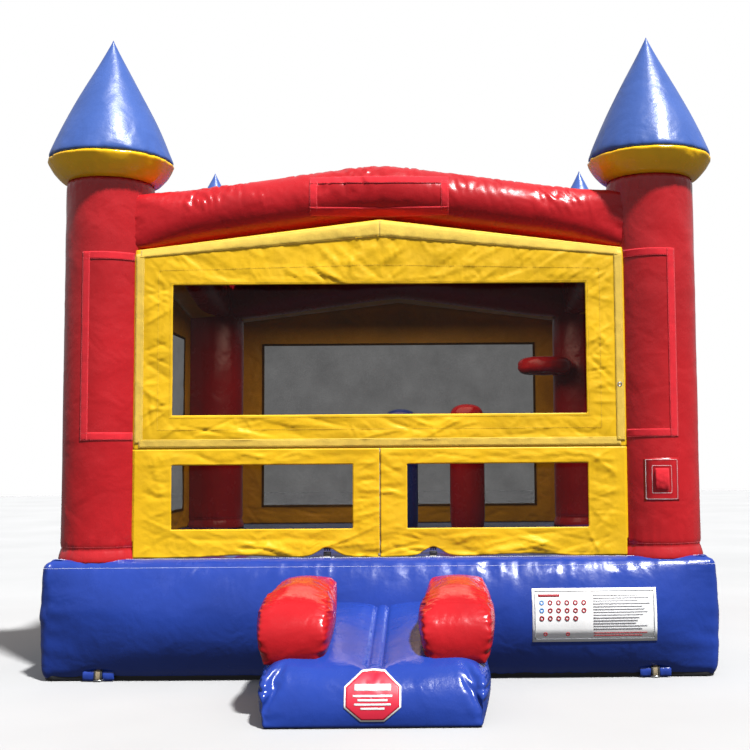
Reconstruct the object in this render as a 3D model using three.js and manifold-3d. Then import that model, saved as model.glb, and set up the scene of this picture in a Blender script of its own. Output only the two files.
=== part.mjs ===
// Inflatable bounce house: a square air base, four round towers with cone tops, four peaked beams,
// netted cloth walls, a split entrance with two buckles, and a padded step in front of it.
// Millimetres, +Z up. X runs left to right along the front, and the front faces -Y.
// Air chambers are thin shells that open into each other where the air passes.

import * as THREE from 'three';
import { mergeVertices } from 'three/addons/utils/BufferGeometryUtils.js';
import Module from 'manifold-3d';

const wasm = await Module();
wasm.setup();

// ---- Driving dimensions ----

const SKIN = 3; // wall of every air chamber
const CLOTH = 3; // cloth wall panels and the roof
const NET = 1.2;
const PATCH = 1.5; // loop strips, signs and sewn patches
const GAP = 0.4; // between neighbours that touch

const BASE_HALF = 1980;
const BASE_CORNER = 90;
const BASE_EDGE = 60; // rounding along the top and bottom edges
const BASE_TOP = 700;
const GROUND_SHEET = 3;

const TOWER_OFFSET = 1700; // tower centres, from the middle along X and Y
const TOWER_RADIUS = 270;
const TOWER_TOP = 3030;
const COLLAR_RADIUS = 385;
const COLLAR_TOP = 3165;
const TIP_Z = 3968;
const ROUND_STEPS = 16; // a multiple of four, so that turned copies match

const BEAM_RADIUS = 180;
const BEAM_END_X = 1490;
const BEAM_END_Z = 2755;
const BEAM_PEAK_Z = 2960;
const BEAM_SLOPE = (BEAM_PEAK_Z - BEAM_END_Z) / BEAM_END_X;
const BEAM_AIR_HOLE = 110;

const PANEL_Y = 1881; // inner face of the cloth walls, from the middle
const PANEL_HALF = 1490;
const PANEL_BOTTOM = BASE_TOP + 3;
const PANEL_CORNER_Z = 2580;
const PANEL_PEAK_Z = 2762;
const LIP_Y = 1800; // where the walls' top edges meet the beams
const LIP_RISE = 45;
const WINDOW_HALF = 1260;
const WINDOW_BOTTOM = 875;
const WINDOW_TOP = 2360;
const NET_LAP = 22; // how far a net reaches past its window

const DOOR_TOP = 1357; // top of the entrance slit
const SLIT_HALF = 6;
const FOLD_HALF = 8; // clear cloth on each side of a flap's fold line
const DOOR_WINDOW_INNER = 165;
const DOOR_WINDOW_TOP = 1260;
const UPPER_WINDOW_BOTTOM = 1563;

const STRIP = 50; // hook-and-loop tape
const BUCKLE_X = 320;
const BUCKLE_WIDTH = 46;

const STEP_X = 25; // the step's middle
const STEP_HALF = 585;
const STEP_BACK_Y = -1983.5;
const STEP_BACK_Z = 455;
const STEP_CREST_Y = -3150;
const STEP_CREST_Z = 290;
const STEP_FRONT_Y = -3290;

const HEM_LOW = 50;
const HEM_HIGH = 90;
const HEM_THICK = 2;
const RING_WIRE = 4;
const RING_HALF = 30;
const RING_Z = 9;
const RING_Y = BASE_HALF + 9.5;
const RING_XS = { left: -1650, right: 1620 };

const TUBE_X = 1050;
const TUBE_RADIUS = 140;
const TUBE_END_Y = 2680;

const SHIFT_Y = -(STEP_FRONT_Y + TUBE_END_Y) / 2; // puts the middle of the whole length at Y = 0

// ---- Materials ----

const vinyl = (color) => new THREE.MeshStandardMaterial({ color, roughness: 0.35, metalness: 0 });
const blueVinyl = vinyl(0x2f55b5);
const redVinyl = vinyl(0xc0242c);
const yellowVinyl = vinyl(0xf2bd1d);
const yellowCloth = new THREE.MeshStandardMaterial({ color: 0xf5c518, roughness: 0.55, metalness: 0 });
const blackCloth = new THREE.MeshStandardMaterial({ color: 0x18181a, roughness: 0.7, metalness: 0 });
const blackPlastic = new THREE.MeshStandardMaterial({ color: 0x101012, roughness: 0.4, metalness: 0 });
const whiteVinyl = new THREE.MeshStandardMaterial({ color: 0xe6e6e4, roughness: 0.5, metalness: 0 });
const signRed = new THREE.MeshStandardMaterial({ color: 0xc01824, roughness: 0.45, metalness: 0 });
const steel = new THREE.MeshStandardMaterial({ color: 0xb5b8ba, roughness: 0.3, metalness: 1 });

// ---- Solids from geometry ----

function signedVolume(position, index) {
  const a = new THREE.Vector3();
  const b = new THREE.Vector3();
  const c = new THREE.Vector3();
  let total = 0;
  for (let i = 0; i < index.length; i += 3) {
    a.fromBufferAttribute(position, index[i]);
    b.fromBufferAttribute(position, index[i + 1]);
    c.fromBufferAttribute(position, index[i + 2]);
    total += a.dot(b.cross(c)) / 6;
  }
  return total;
}

function solidOf(geometry) {
  const bare = geometry.clone();
  bare.deleteAttribute('normal');
  bare.deleteAttribute('uv');
  const merged = mergeVertices(bare, 1e-3);
  const position = merged.getAttribute('position');
  const index = [];
  for (let i = 0; i < merged.index.count; i += 3) {
    const [a, b, c] = [0, 1, 2].map((k) => merged.index.getX(i + k));
    if (a !== b && b !== c && a !== c) index.push(a, b, c);
  }
  if (signedVolume(position, index) < 0) index.reverse();
  const mesh = new wasm.Mesh({
    numProp: 3,
    vertProperties: new Float32Array(position.array),
    triVerts: new Uint32Array(index),
  });
  return new wasm.Manifold(mesh);
}

function geometryOf(solid) {
  const mesh = solid.getMesh();
  const geometry = new THREE.BufferGeometry();
  geometry.setAttribute('position', new THREE.BufferAttribute(mesh.vertProperties, 3));
  geometry.setIndex(new THREE.BufferAttribute(mesh.triVerts, 1));
  geometry.computeVertexNormals();
  return geometry;
}

const cutAll = (solid, tools) => tools.reduce((rest, tool) => rest.subtract(tool), solid);
const joinAll = (solids) => solids.reduce((whole, solid) => whole.add(solid));

// ---- Outlines ----

function outline(points) {
  return new THREE.Shape(points.map(([a, b]) => new THREE.Vector2(a, b)));
}

function rectangle(a0, a1, b0, b1) {
  return outline([[a0, b0], [a1, b0], [a1, b1], [a0, b1]]);
}

function roundedSquare(half, radius) {
  const inner = half - radius;
  const shape = new THREE.Shape();
  shape.absarc(inner, inner, radius, 0, Math.PI / 2);
  shape.absarc(-inner, inner, radius, Math.PI / 2, Math.PI);
  shape.absarc(-inner, -inner, radius, Math.PI, Math.PI * 1.5);
  shape.absarc(inner, -inner, radius, Math.PI * 1.5, Math.PI * 2);
  return shape;
}

// ---- Solids from outlines ----

// An outline in X and Y, standing from z0 to z1.
function plate(shape, z0, z1, curveSegments = 3) {
  const geometry = new THREE.ExtrudeGeometry(shape, { depth: z1 - z0, bevelEnabled: false, curveSegments });
  return solidOf(geometry.translate(0, 0, z0));
}

// An outline in X and Z, as a sheet from y0 to y1.
function wallSheet(shape, y0, y1) {
  const geometry = new THREE.ExtrudeGeometry(shape, { depth: y1 - y0, bevelEnabled: false });
  return solidOf(geometry.rotateX(Math.PI / 2).translate(0, y1, 0));
}

// An outline in Y and Z, running from x0 to x1.
function sideSlab(shape, x0, x1) {
  const settings = { depth: x1 - x0, bevelEnabled: false, curveSegments: 4 };
  const geometry = new THREE.ExtrudeGeometry(shape, settings);
  const turn = new THREE.Matrix4().makeBasis(
    new THREE.Vector3(0, 1, 0),
    new THREE.Vector3(0, 0, 1),
    new THREE.Vector3(1, 0, 0),
  );
  return solidOf(geometry.applyMatrix4(turn).translate(x0, 0, 0));
}

function box(x0, x1, y0, y1, z0, z1) {
  const geometry = new THREE.BoxGeometry(x1 - x0, y1 - y0, z1 - z0);
  return solidOf(geometry.translate((x0 + x1) / 2, (y0 + y1) / 2, (z0 + z1) / 2));
}

// A block with rounded upright corners and rounded top and bottom edges.
function softBlock(half, corner, edge, z0, z1) {
  const shape = roundedSquare(half - edge, corner - edge);
  const geometry = new THREE.ExtrudeGeometry(shape, {
    depth: z1 - z0 - 2 * edge,
    bevelSize: edge,
    bevelThickness: edge,
    bevelSegments: 2,
    curveSegments: 2,
  });
  return solidOf(geometry.translate(0, 0, z0 + edge));
}

// A closed profile of [radius, z] turned about the Z axis.
function turned(profile, steps = ROUND_STEPS) {
  const points = profile.map(([r, z]) => new THREE.Vector2(r, z));
  return solidOf(new THREE.LatheGeometry(points, steps).rotateX(Math.PI / 2));
}

function closedRing(outer, inner) {
  return [...outer, ...inner.slice().reverse(), outer[0]];
}

function uprightRod(radius, x, y, z0, z1, steps = ROUND_STEPS) {
  const geometry = new THREE.CylinderGeometry(radius, radius, z1 - z0, steps).rotateX(Math.PI / 2);
  return solidOf(geometry.translate(x, y, (z0 + z1) / 2));
}

function rodAlongY(radius, x, z, y0, y1, steps = ROUND_STEPS) {
  const geometry = new THREE.CylinderGeometry(radius, radius, y1 - y0, steps);
  return solidOf(geometry.translate(x, (y0 + y1) / 2, z));
}

function rodAlongX(radius, y, z, x0, x1, steps = ROUND_STEPS) {
  const geometry = new THREE.CylinderGeometry(radius, radius, x1 - x0, steps).rotateZ(Math.PI / 2);
  return solidOf(geometry.translate((x0 + x1) / 2, y, z));
}

// ---- The object ----

const bounceHouse = new THREE.Group();
bounceHouse.position.y = SHIFT_Y;

function addPiece(parent, name, solid, material) {
  const mesh = new THREE.Mesh(geometryOf(solid), material);
  mesh.name = name;
  parent.add(mesh);
  return mesh;
}

const SIDES = { front: 0, right: Math.PI / 2, rear: Math.PI, left: -Math.PI / 2 };
const CORNERS = { front_left: 0, front_right: Math.PI / 2, rear_right: Math.PI, rear_left: -Math.PI / 2 };

const towerAxes = [[-1, -1], [1, -1], [1, 1], [-1, 1]].map(([a, b]) => [a * TOWER_OFFSET, b * TOWER_OFFSET]);

// ---- Base ----

const popups = {
  red: { x: 610, y: 1000, top: 1760, material: redVinyl },
  blue: { x: 40, y: 1000, top: 1720, material: blueVinyl },
};
const POPUP_RADIUS = 150;
const FLOOR_HALF = BASE_HALF - BASE_EDGE;

function baseWall() {
  const low = GROUND_SHEET + GAP;
  const outer = softBlock(BASE_HALF, BASE_CORNER, BASE_EDGE, low, BASE_TOP);
  const air = softBlock(BASE_HALF - SKIN, BASE_CORNER - SKIN, BASE_EDGE - SKIN, low + SKIN, BASE_TOP - SKIN);
  const corner = BASE_CORNER - BASE_EDGE;
  const floorOpening = plate(roundedSquare(FLOOR_HALF, corner), BASE_TOP - 20, BASE_TOP + 5);
  const groundOpening = plate(roundedSquare(FLOOR_HALF - 60, corner), 0, low + 20);
  const stepHole = rodAlongY(90, STEP_X, 180, -BASE_HALF - 50, -BASE_HALF + 50);
  const tubeHole = rodAlongY(TUBE_RADIUS - 12, TUBE_X, TUBE_RADIUS + 4, BASE_HALF - 50, BASE_HALF + 50);
  return cutAll(outer, [air, floorOpening, groundOpening, stepHole, tubeHole]);
}

function bounceFloor() {
  const shape = roundedSquare(FLOOR_HALF - GAP, BASE_CORNER - BASE_EDGE);
  const floor = plate(shape, BASE_TOP - SKIN, BASE_TOP);
  const towerHoles = towerAxes.map(([x, y]) => uprightRod(120, x, y, BASE_TOP - 20, BASE_TOP + 20, 12));
  const popupHoles = Object.values(popups).map(({ x, y }) => (
    uprightRod(70, x, y, BASE_TOP - 20, BASE_TOP + 20, 12)
  ));
  return cutAll(floor, [...towerHoles, ...popupHoles]);
}

const BAFFLE_PITCH = 480;
const BAFFLE_COUNT = 7;
const BAFFLE_THICK = 2;

function floorBaffles() {
  const low = GROUND_SHEET + 1;
  const high = BASE_TOP - SKIN - 1;
  const length = 1780;
  const webs = [];
  for (let i = 0; i < BAFFLE_COUNT; i += 1) {
    const x = (i - (BAFFLE_COUNT - 1) / 2) * BAFFLE_PITCH;
    webs.push(box(x - BAFFLE_THICK / 2, x + BAFFLE_THICK / 2, -length, length, low, high));
  }
  webs.push(box(-length, length, -BAFFLE_THICK / 2, BAFFLE_THICK / 2, low + 200, high - 200));
  return joinAll(webs);
}

function groundSheet() {
  const underBase = plate(roundedSquare(BASE_HALF - 5, BASE_CORNER), 0, GROUND_SHEET);
  const stepHalf = STEP_HALF - 8;
  const underStep = box(STEP_X - stepHalf, STEP_X + stepHalf, STEP_FRONT_Y + 12, -1900, 0, GROUND_SHEET);
  return underBase.add(underStep);
}

addPiece(bounceHouse, 'base_wall', baseWall(), blueVinyl);
addPiece(bounceHouse, 'bounce_floor', bounceFloor(), blueVinyl);
addPiece(bounceHouse, 'floor_baffles', floorBaffles(), blackCloth);
addPiece(bounceHouse, 'ground_sheet', groundSheet(), blackCloth);

// ---- Hem webbing and anchor rings ----

// One loop hangs down the outside of the hem and wraps the bar of a ring. It is built for the front.
function anchorLoop(x) {
  const half = 20;
  const strapFace = -BASE_HALF - 3.9;
  const strap = box(x - half, x + half, strapFace, strapFace + 2.5, RING_Z, HEM_HIGH - 5);
  const sleeve = rodAlongX(RING_WIRE + 2.5, -RING_Y, RING_Z, x - half, x + half, 12);
  const tail = box(x - half + 0.5, x + half - 0.5, -RING_Y, strapFace + 1, RING_Z + 3.2, RING_Z + 5.6);
  const bore = rodAlongX(RING_WIRE + 0.8, -RING_Y, RING_Z, x - half - 1, x + half + 1, 12);
  return joinAll([strap, sleeve, tail]).subtract(bore);
}

function hemWebbing() {
  const corner = BASE_CORNER - 10;
  const outer = plate(roundedSquare(BASE_HALF + GAP + HEM_THICK, corner + HEM_THICK), HEM_LOW, HEM_HIGH);
  const inner = plate(roundedSquare(BASE_HALF + GAP, corner), HEM_LOW - 5, HEM_HIGH + 5);
  const front = Object.values(RING_XS).map(anchorLoop);
  const rear = Object.values(RING_XS).map((x) => anchorLoop(-x).rotate([0, 0, 180]));
  return joinAll([outer.subtract(inner), ...front, ...rear]);
}

// A D-shaped ring lying flat, its straight bar along X at the origin and its bow towards -Y.
function dRing() {
  const bow = solidOf(new THREE.TorusGeometry(RING_HALF, RING_WIRE, 8, 16));
  const bar = rodAlongX(RING_WIRE, 0, 0, -RING_HALF, RING_HALF, 8);
  const ends = [-RING_HALF, RING_HALF].map((x) => (
    solidOf(new THREE.SphereGeometry(RING_WIRE, 8, 6).translate(x, 0, 0))
  ));
  return joinAll([bow.subtract(box(-50, 50, 0, 50, -10, 10)), bar, ...ends]);
}

addPiece(bounceHouse, 'hem_webbing', hemWebbing(), blackCloth);
for (const [end, turn] of [['front', 0], ['rear', Math.PI]]) {
  for (const [side, x] of Object.entries(RING_XS)) {
    const ring = addPiece(bounceHouse, `anchor_ring_${end}_${side}`, dRing(), steel);
    ring.position.set(x, end === 'front' ? -RING_Y : RING_Y, RING_Z);
    ring.rotation.z = turn;
  }
}

// ---- Step ----

// Side outline of the step, drawn inwards by an inset. Its back is open towards the base.
function stepOutline(inset) {
  const backY = inset > 0 ? STEP_BACK_Y + 20 : STEP_BACK_Y;
  const low = GROUND_SHEET + GAP + inset;
  const crest = STEP_CREST_Z - inset;
  const shape = new THREE.Shape();
  shape.moveTo(backY, low);
  shape.lineTo(backY, STEP_BACK_Z - inset);
  shape.lineTo(STEP_CREST_Y, crest);
  shape.quadraticCurveTo(STEP_CREST_Y - 38, crest - 6, STEP_CREST_Y - 48 + inset, STEP_CREST_Z - 28);
  shape.lineTo(STEP_FRONT_Y + inset, 30);
  shape.quadraticCurveTo(STEP_FRONT_Y + inset - 2, low + 2, STEP_FRONT_Y + 22, low);
  shape.closePath();
  return shape;
}

const STEP_SLOPE = (STEP_CREST_Z - STEP_BACK_Z) / (STEP_CREST_Y - STEP_BACK_Y);
const stepTopAt = (y) => STEP_BACK_Z + (y - STEP_BACK_Y) * STEP_SLOPE;

const BOLSTER_INNER = 215; // from the step's middle
const BOLSTER_OUTER = 612;
const BOLSTER_FRONT_Y = -3085;
const BOLSTER_BACK_TOP = 640;
const BOLSTER_FRONT_TOP = 575;
const BOLSTER_AIR = { y: -2450, radius: 60 };

function bolsterOutline(inset) {
  const back = STEP_BACK_Y - inset;
  const front = BOLSTER_FRONT_Y + inset;
  const round = 110;
  const lift = 1.2 + inset;
  const shape = new THREE.Shape();
  shape.moveTo(back, stepTopAt(back) + lift);
  shape.lineTo(back, BOLSTER_BACK_TOP - inset);
  shape.lineTo(front + round, BOLSTER_FRONT_TOP - inset);
  shape.quadraticCurveTo(front, BOLSTER_FRONT_TOP - inset, front, BOLSTER_FRONT_TOP - round);
  shape.lineTo(front, stepTopAt(front) + lift + 40);
  shape.lineTo(front + 30, stepTopAt(front + 30) + lift);
  shape.closePath();
  return shape;
}

function bolster(side) {
  const [x0, x1] = [BOLSTER_INNER, BOLSTER_OUTER].map((d) => STEP_X + side * d).sort((a, b) => a - b);
  const outer = sideSlab(bolsterOutline(0), x0, x1);
  const air = sideSlab(bolsterOutline(SKIN), x0 + SKIN, x1 - SKIN);
  return cutAll(outer, [air, bolsterAirHole(side)]);
}

function bolsterAirHole(side) {
  const x = STEP_X + (side * (BOLSTER_INNER + BOLSTER_OUTER)) / 2;
  const z = stepTopAt(BOLSTER_AIR.y);
  return uprightRod(BOLSTER_AIR.radius, x, BOLSTER_AIR.y, z - 40, z + 40, 12);
}

function stepCushion() {
  const outer = sideSlab(stepOutline(0), STEP_X - STEP_HALF, STEP_X + STEP_HALF);
  const air = sideSlab(stepOutline(SKIN), STEP_X - STEP_HALF + SKIN, STEP_X + STEP_HALF - SKIN);
  return cutAll(outer, [air, bolsterAirHole(-1), bolsterAirHole(1)]);
}

addPiece(bounceHouse, 'step_cushion', stepCushion(), blueVinyl);
addPiece(bounceHouse, 'step_bolster_left', bolster(-1), redVinyl);
addPiece(bounceHouse, 'step_bolster_right', bolster(1), redVinyl);

// ---- Signs ----

const OCTAGON_HALF = 122;

function octagonSign() {
  const top = [STEP_CREST_Y - 48, STEP_CREST_Z - 28];
  const foot = [STEP_FRONT_Y, 30];
  const lean = Math.atan2(top[0] - foot[0], top[1] - foot[1]);
  const radius = OCTAGON_HALF / Math.cos(Math.PI / 8);
  const geometry = new THREE.CylinderGeometry(radius, radius, PATCH, 8).rotateY(Math.PI / 8);
  geometry.translate(0, -PATCH / 2 - GAP, 0).rotateX(-lean);
  return solidOf(geometry.translate(STEP_X, (top[0] + foot[0]) / 2, (top[1] + foot[1]) / 2));
}

function rulesSign() {
  return wallSheet(rectangle(893, 1621, 226, 530), -BASE_HALF - GAP - PATCH, -BASE_HALF - GAP);
}

addPiece(bounceHouse, 'octagon_sign', octagonSign(), signRed);
addPiece(bounceHouse, 'rules_sign', rulesSign(), whiteVinyl);

// ---- Towers ----

const BEAM_HOLE_Z = BEAM_END_Z;

// The front left tower's column, with air holes towards +X and +Y where its two beams join.
function column() {
  const low = BASE_TOP + GAP;
  const high = TOWER_TOP;
  const tube = turned(closedRing(
    [[TOWER_RADIUS, low], [TOWER_RADIUS, high]],
    [[TOWER_RADIUS - SKIN, low], [TOWER_RADIUS - SKIN, high]],
  ));
  const holes = [
    rodAlongX(BEAM_AIR_HOLE, 0, BEAM_HOLE_Z, 100, TOWER_RADIUS + 20, 12),
    rodAlongY(BEAM_AIR_HOLE, 0, BEAM_HOLE_Z, 100, TOWER_RADIUS + 20, 12),
  ];
  return cutAll(tube, holes);
}

function collar() {
  const low = TOWER_TOP + GAP;
  const outer = [
    [TOWER_RADIUS + 4, low],
    [TOWER_RADIUS + 80, low + 50],
    [COLLAR_RADIUS, COLLAR_TOP],
  ];
  const inner = outer.map(([r, z]) => [r - SKIN, z]);
  return turned(closedRing(outer, inner));
}

function cone() {
  const low = COLLAR_TOP + GAP;
  const height = TIP_Z - low;
  const outer = [
    [COLLAR_RADIUS, low],
    [COLLAR_RADIUS * 0.965, low + height * 0.06],
    [COLLAR_RADIUS * 0.72, low + height * 0.33],
    [COLLAR_RADIUS * 0.1, low + height * 0.92],
  ];
  const inner = outer.map(([r, z]) => [r - SKIN, z]);
  return turned([...outer, [0, TIP_Z], [0, TIP_Z - 30], ...inner.reverse(), outer[0]]);
}

const upAxis = new THREE.Vector3(0, 0, 1);
for (const [corner, turn] of Object.entries(CORNERS)) {
  const tower = new THREE.Group();
  tower.position.set(-TOWER_OFFSET, -TOWER_OFFSET, 0).applyAxisAngle(upAxis, turn).round();
  tower.rotation.z = turn;
  bounceHouse.add(tower);
  addPiece(tower, `column_${corner}`, column(), redVinyl);
  addPiece(tower, `collar_${corner}`, collar(), yellowVinyl);
  addPiece(tower, `cone_${corner}`, cone(), blueVinyl);
}

// ---- Beams ----

// One sloping half of a solid peaked beam, on the +X side of the front.
function beamHalf(radius) {
  const reach = 1560;
  const slope = Math.atan(BEAM_SLOPE);
  const length = reach / Math.cos(slope) + 200;
  const geometry = new THREE.CylinderGeometry(radius, radius, length, ROUND_STEPS).rotateZ(Math.PI / 2);
  geometry.translate(length / 2 - 200, 0, 0).rotateY(slope).translate(0, -TOWER_OFFSET, BEAM_PEAK_Z);
  return solidOf(geometry).intersect(box(0, reach, -3000, 0, 0, 5000));
}

function solidBeam(radius) {
  const half = beamHalf(radius);
  return half.add(half.mirror([1, 0, 0]));
}

function beam() {
  const ends = towerAxes.map(([x, y]) => uprightRod(TOWER_RADIUS + GAP, x, y, 2000, 3500));
  return cutAll(solidBeam(BEAM_RADIUS), [solidBeam(BEAM_RADIUS - SKIN), ...ends]);
}

const beamSolid = beam();
for (const [side, turn] of Object.entries(SIDES)) {
  addPiece(bounceHouse, `beam_${side}`, beamSolid, redVinyl).rotation.z = turn;
}

// ---- Cloth walls and nets ----

const gableAt = (x) => PANEL_PEAK_Z - (Math.abs(x) / PANEL_HALF) * (PANEL_PEAK_Z - PANEL_CORNER_Z);

function gableOutline(bottom, inset) {
  const half = PANEL_HALF - inset;
  return outline([
    [-half, bottom],
    [half, bottom],
    [half, gableAt(half) - inset],
    [0, PANEL_PEAK_Z - inset],
    [-half, gableAt(half) - inset],
  ]);
}

const panelSheet = (shape) => wallSheet(shape, -PANEL_Y - CLOTH, -PANEL_Y);
const netSheet = (shape) => wallSheet(shape, -PANEL_Y + GAP, -PANEL_Y + GAP + NET);
const throughCut = (shape) => wallSheet(shape, -PANEL_Y - 100, -PANEL_Y + 100);

// The wall's top edge turns inwards, up to the underside of its beam.
function clothLip() {
  const outerY = -PANEL_Y - CLOTH + 1;
  const profile = outline([[outerY, -4], [-LIP_Y, LIP_RISE - 3], [-LIP_Y, LIP_RISE], [outerY, -1]]);
  const slope = (PANEL_PEAK_Z - PANEL_CORNER_Z) / PANEL_HALF;
  const sheared = [1, 0, -slope, 0, 0, 1, 0, 0, 0, 0, 1, 0, 0, 0, PANEL_PEAK_Z, 1];
  const half = sideSlab(profile, 0, PANEL_HALF - 1).transform(sheared);
  const towers = [-1, 1].map((side) => (
    uprightRod(TOWER_RADIUS + GAP, side * TOWER_OFFSET, -TOWER_OFFSET, 2000, 3000)
  ));
  const beamAndPatch = solidBeam(BEAM_RADIUS + PATCH + 2 * GAP);
  return cutAll(half.add(half.mirror([1, 0, 0])), [beamAndPatch, ...towers]);
}

function nettedWall(bottom, windowBottom) {
  const window = rectangle(-WINDOW_HALF, WINDOW_HALF, windowBottom, WINDOW_TOP);
  const lap = WINDOW_HALF + NET_LAP;
  return {
    cloth: panelSheet(gableOutline(bottom, 0)).subtract(throughCut(window)).add(clothLip()),
    net: netSheet(rectangle(-lap, lap, windowBottom - NET_LAP, WINDOW_TOP + NET_LAP)),
  };
}

for (const [side, turn] of Object.entries(SIDES)) {
  const atFront = side === 'front';
  const { cloth, net } = atFront
    ? nettedWall(DOOR_TOP + GAP, UPPER_WINDOW_BOTTOM)
    : nettedWall(PANEL_BOTTOM, WINDOW_BOTTOM);
  addPiece(bounceHouse, `panel_${side}`, cloth, yellowCloth).rotation.z = turn;
  addPiece(bounceHouse, `net_${side}`, net, blackCloth).rotation.z = turn;
}

// ---- Entrance ----

// The right half of the entrance cloth is split along its fold line, from the top of the slit to the
// panel's lower outer corner. The flap below the fold swings, and the cloth above it stays.
const FOLD_RISE = DOOR_TOP - PANEL_BOTTOM;
const FOLD_LENGTH = Math.hypot(PANEL_HALF, FOLD_RISE);
const foldZ = (x) => DOOR_TOP - (x / PANEL_HALF) * FOLD_RISE;
const foldDrop = (FOLD_HALF * FOLD_LENGTH) / PANEL_HALF;
const foldRun = (FOLD_HALF * FOLD_LENGTH) / FOLD_RISE;

function flapOutline(bottom, left) {
  return outline([
    [left, bottom],
    [PANEL_HALF - foldRun, bottom],
    [left, foldZ(left) - foldDrop],
  ]);
}

function clothAboveFold() {
  const start = (foldDrop / FOLD_RISE) * PANEL_HALF;
  return outline([
    [start, DOOR_TOP - GAP],
    [PANEL_HALF, foldZ(PANEL_HALF) + foldDrop],
    [PANEL_HALF, DOOR_TOP - GAP],
  ]);
}

function buckleNotch(y0, y1) {
  const half = BUCKLE_WIDTH / 2 + 18;
  const low = PANEL_BOTTOM - 5;
  const shape = new THREE.Shape();
  shape.moveTo(BUCKLE_X - half - 40, low);
  shape.quadraticCurveTo(BUCKLE_X - half, low + 36, BUCKLE_X - half + 12, low + 42);
  shape.lineTo(BUCKLE_X + half - 12, low + 42);
  shape.quadraticCurveTo(BUCKLE_X + half, low + 36, BUCKLE_X + half + 40, low);
  shape.closePath();
  return wallSheet(shape, y0, y1);
}

function entranceHalf() {
  const window = rectangle(DOOR_WINDOW_INNER, WINDOW_HALF, WINDOW_BOTTOM, DOOR_WINDOW_TOP);
  const lapped = rectangle(
    DOOR_WINDOW_INNER - NET_LAP,
    WINDOW_HALF + NET_LAP,
    WINDOW_BOTTOM - NET_LAP,
    DOOR_WINDOW_TOP + NET_LAP,
  );
  const netBox = wallSheet(lapped, -PANEL_Y - 50, -PANEL_Y + 50);
  const flapShape = flapOutline(PANEL_BOTTOM + 2, SLIT_HALF);
  return {
    door_flap: cutAll(panelSheet(flapShape), [throughCut(window), buckleNotch(-PANEL_Y - 50, -PANEL_Y + 50)]),
    flap_net: netSheet(flapShape).intersect(netBox),
    door_side: panelSheet(clothAboveFold()).subtract(throughCut(window)),
    side_net: netSheet(clothAboveFold()).intersect(netBox),
  };
}

// The tongue half of a side-release buckle, with its two prongs drawn back above the socket.
function buckleTongue() {
  const y0 = -PANEL_Y + GAP;
  const body = box(BUCKLE_X - BUCKLE_WIDTH / 2, BUCKLE_X + BUCKLE_WIDTH / 2, y0, y0 + 9, 749, 775);
  const prongs = [-1, 1].map((side) => {
    const x = BUCKLE_X + side * 14;
    return box(x - 4, x + 4, y0 + 2, y0 + 7, 741, 750);
  });
  return joinAll([body, ...prongs]);
}

function buckleSocket() {
  const y0 = -PANEL_Y + GAP;
  const half = BUCKLE_WIDTH / 2;
  const body = box(BUCKLE_X - half, BUCKLE_X + half, y0 - 2, y0 + 12, BASE_TOP + 4, 737);
  const foot = box(BUCKLE_X - 38, BUCKLE_X + 38, y0 - 28, y0 + 12, BASE_TOP + GAP, BASE_TOP + GAP + 1.6);
  const webbing = box(BUCKLE_X - 20, BUCKLE_X + 20, y0 + 2, y0 + 8, BASE_TOP + 1, BASE_TOP + 6);
  return joinAll([body, foot, webbing]);
}

const entranceMaterials = {
  door_flap: yellowCloth,
  flap_net: blackCloth,
  door_side: yellowCloth,
  side_net: blackCloth,
  buckle_tongue: blackPlastic,
  buckle_socket: blackPlastic,
};
const entrance = { ...entranceHalf(), buckle_tongue: buckleTongue(), buckle_socket: buckleSocket() };
for (const [piece, solid] of Object.entries(entrance)) {
  addPiece(bounceHouse, `${piece}_right`, solid, entranceMaterials[piece]);
  addPiece(bounceHouse, `${piece}_left`, solid.mirror([1, 0, 0]), entranceMaterials[piece]);
}

// ---- Roof ----

const ROOF_HALF = 1560;
const ROOF_RISE = 132; // above the beams' centre line

function gablePrism(lift) {
  const high = BEAM_PEAK_Z + ROOF_RISE + lift;
  const edge = high - ROOF_HALF * BEAM_SLOPE;
  return wallSheet(
    outline([[-ROOF_HALF, 2000], [ROOF_HALF, 2000], [ROOF_HALF, edge], [0, high], [-ROOF_HALF, edge]]),
    -ROOF_HALF,
    ROOF_HALF,
  );
}

function crossGable(lift) {
  const prism = gablePrism(lift);
  return prism.add(prism.rotate([0, 0, 90]));
}

function roofSheet() {
  const corners = towerAxes.map(([x, y]) => uprightRod(TOWER_RADIUS + 2, x, y, 2000, 3500));
  return cutAll(crossGable(0), [crossGable(-CLOTH), ...corners]);
}

addPiece(bounceHouse, 'roof_sheet', roofSheet(), blueVinyl);

// ---- Play pieces inside ----

const HOOP = { x: 1315, y: 1315, z: 2110, ring: 170, tube: 73 };

function solidHoop(tube) {
  const ring = new THREE.TorusGeometry(HOOP.ring, tube, 8, 14).translate(HOOP.x, HOOP.y, HOOP.z);
  const arm = new THREE.CylinderGeometry(tube * 1.1, tube * 1.1, 240, 10);
  arm.translate(0, HOOP.ring + 120, 0).rotateZ(-Math.PI / 4).translate(HOOP.x, HOOP.y, HOOP.z);
  return solidOf(ring).add(solidOf(arm));
}

function basketballHoop() {
  const tower = uprightRod(TOWER_RADIUS + GAP, TOWER_OFFSET, TOWER_OFFSET, 1500, 2700);
  return cutAll(solidHoop(HOOP.tube), [solidHoop(HOOP.tube - SKIN), tower]);
}

function popup(top) {
  const low = BASE_TOP + GAP;
  const outer = [
    [POPUP_RADIUS - 25, low],
    [POPUP_RADIUS, low + 40],
    [POPUP_RADIUS, top - 110],
    [POPUP_RADIUS * 0.8, top - 40],
    [POPUP_RADIUS * 0.4, top - 6],
  ];
  const inner = outer.map(([r, z]) => [r - SKIN, z === low ? z : z - 1]);
  return turned([...outer, [0, top], [0, top - 5], ...inner.reverse(), outer[0]], 16);
}

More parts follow.
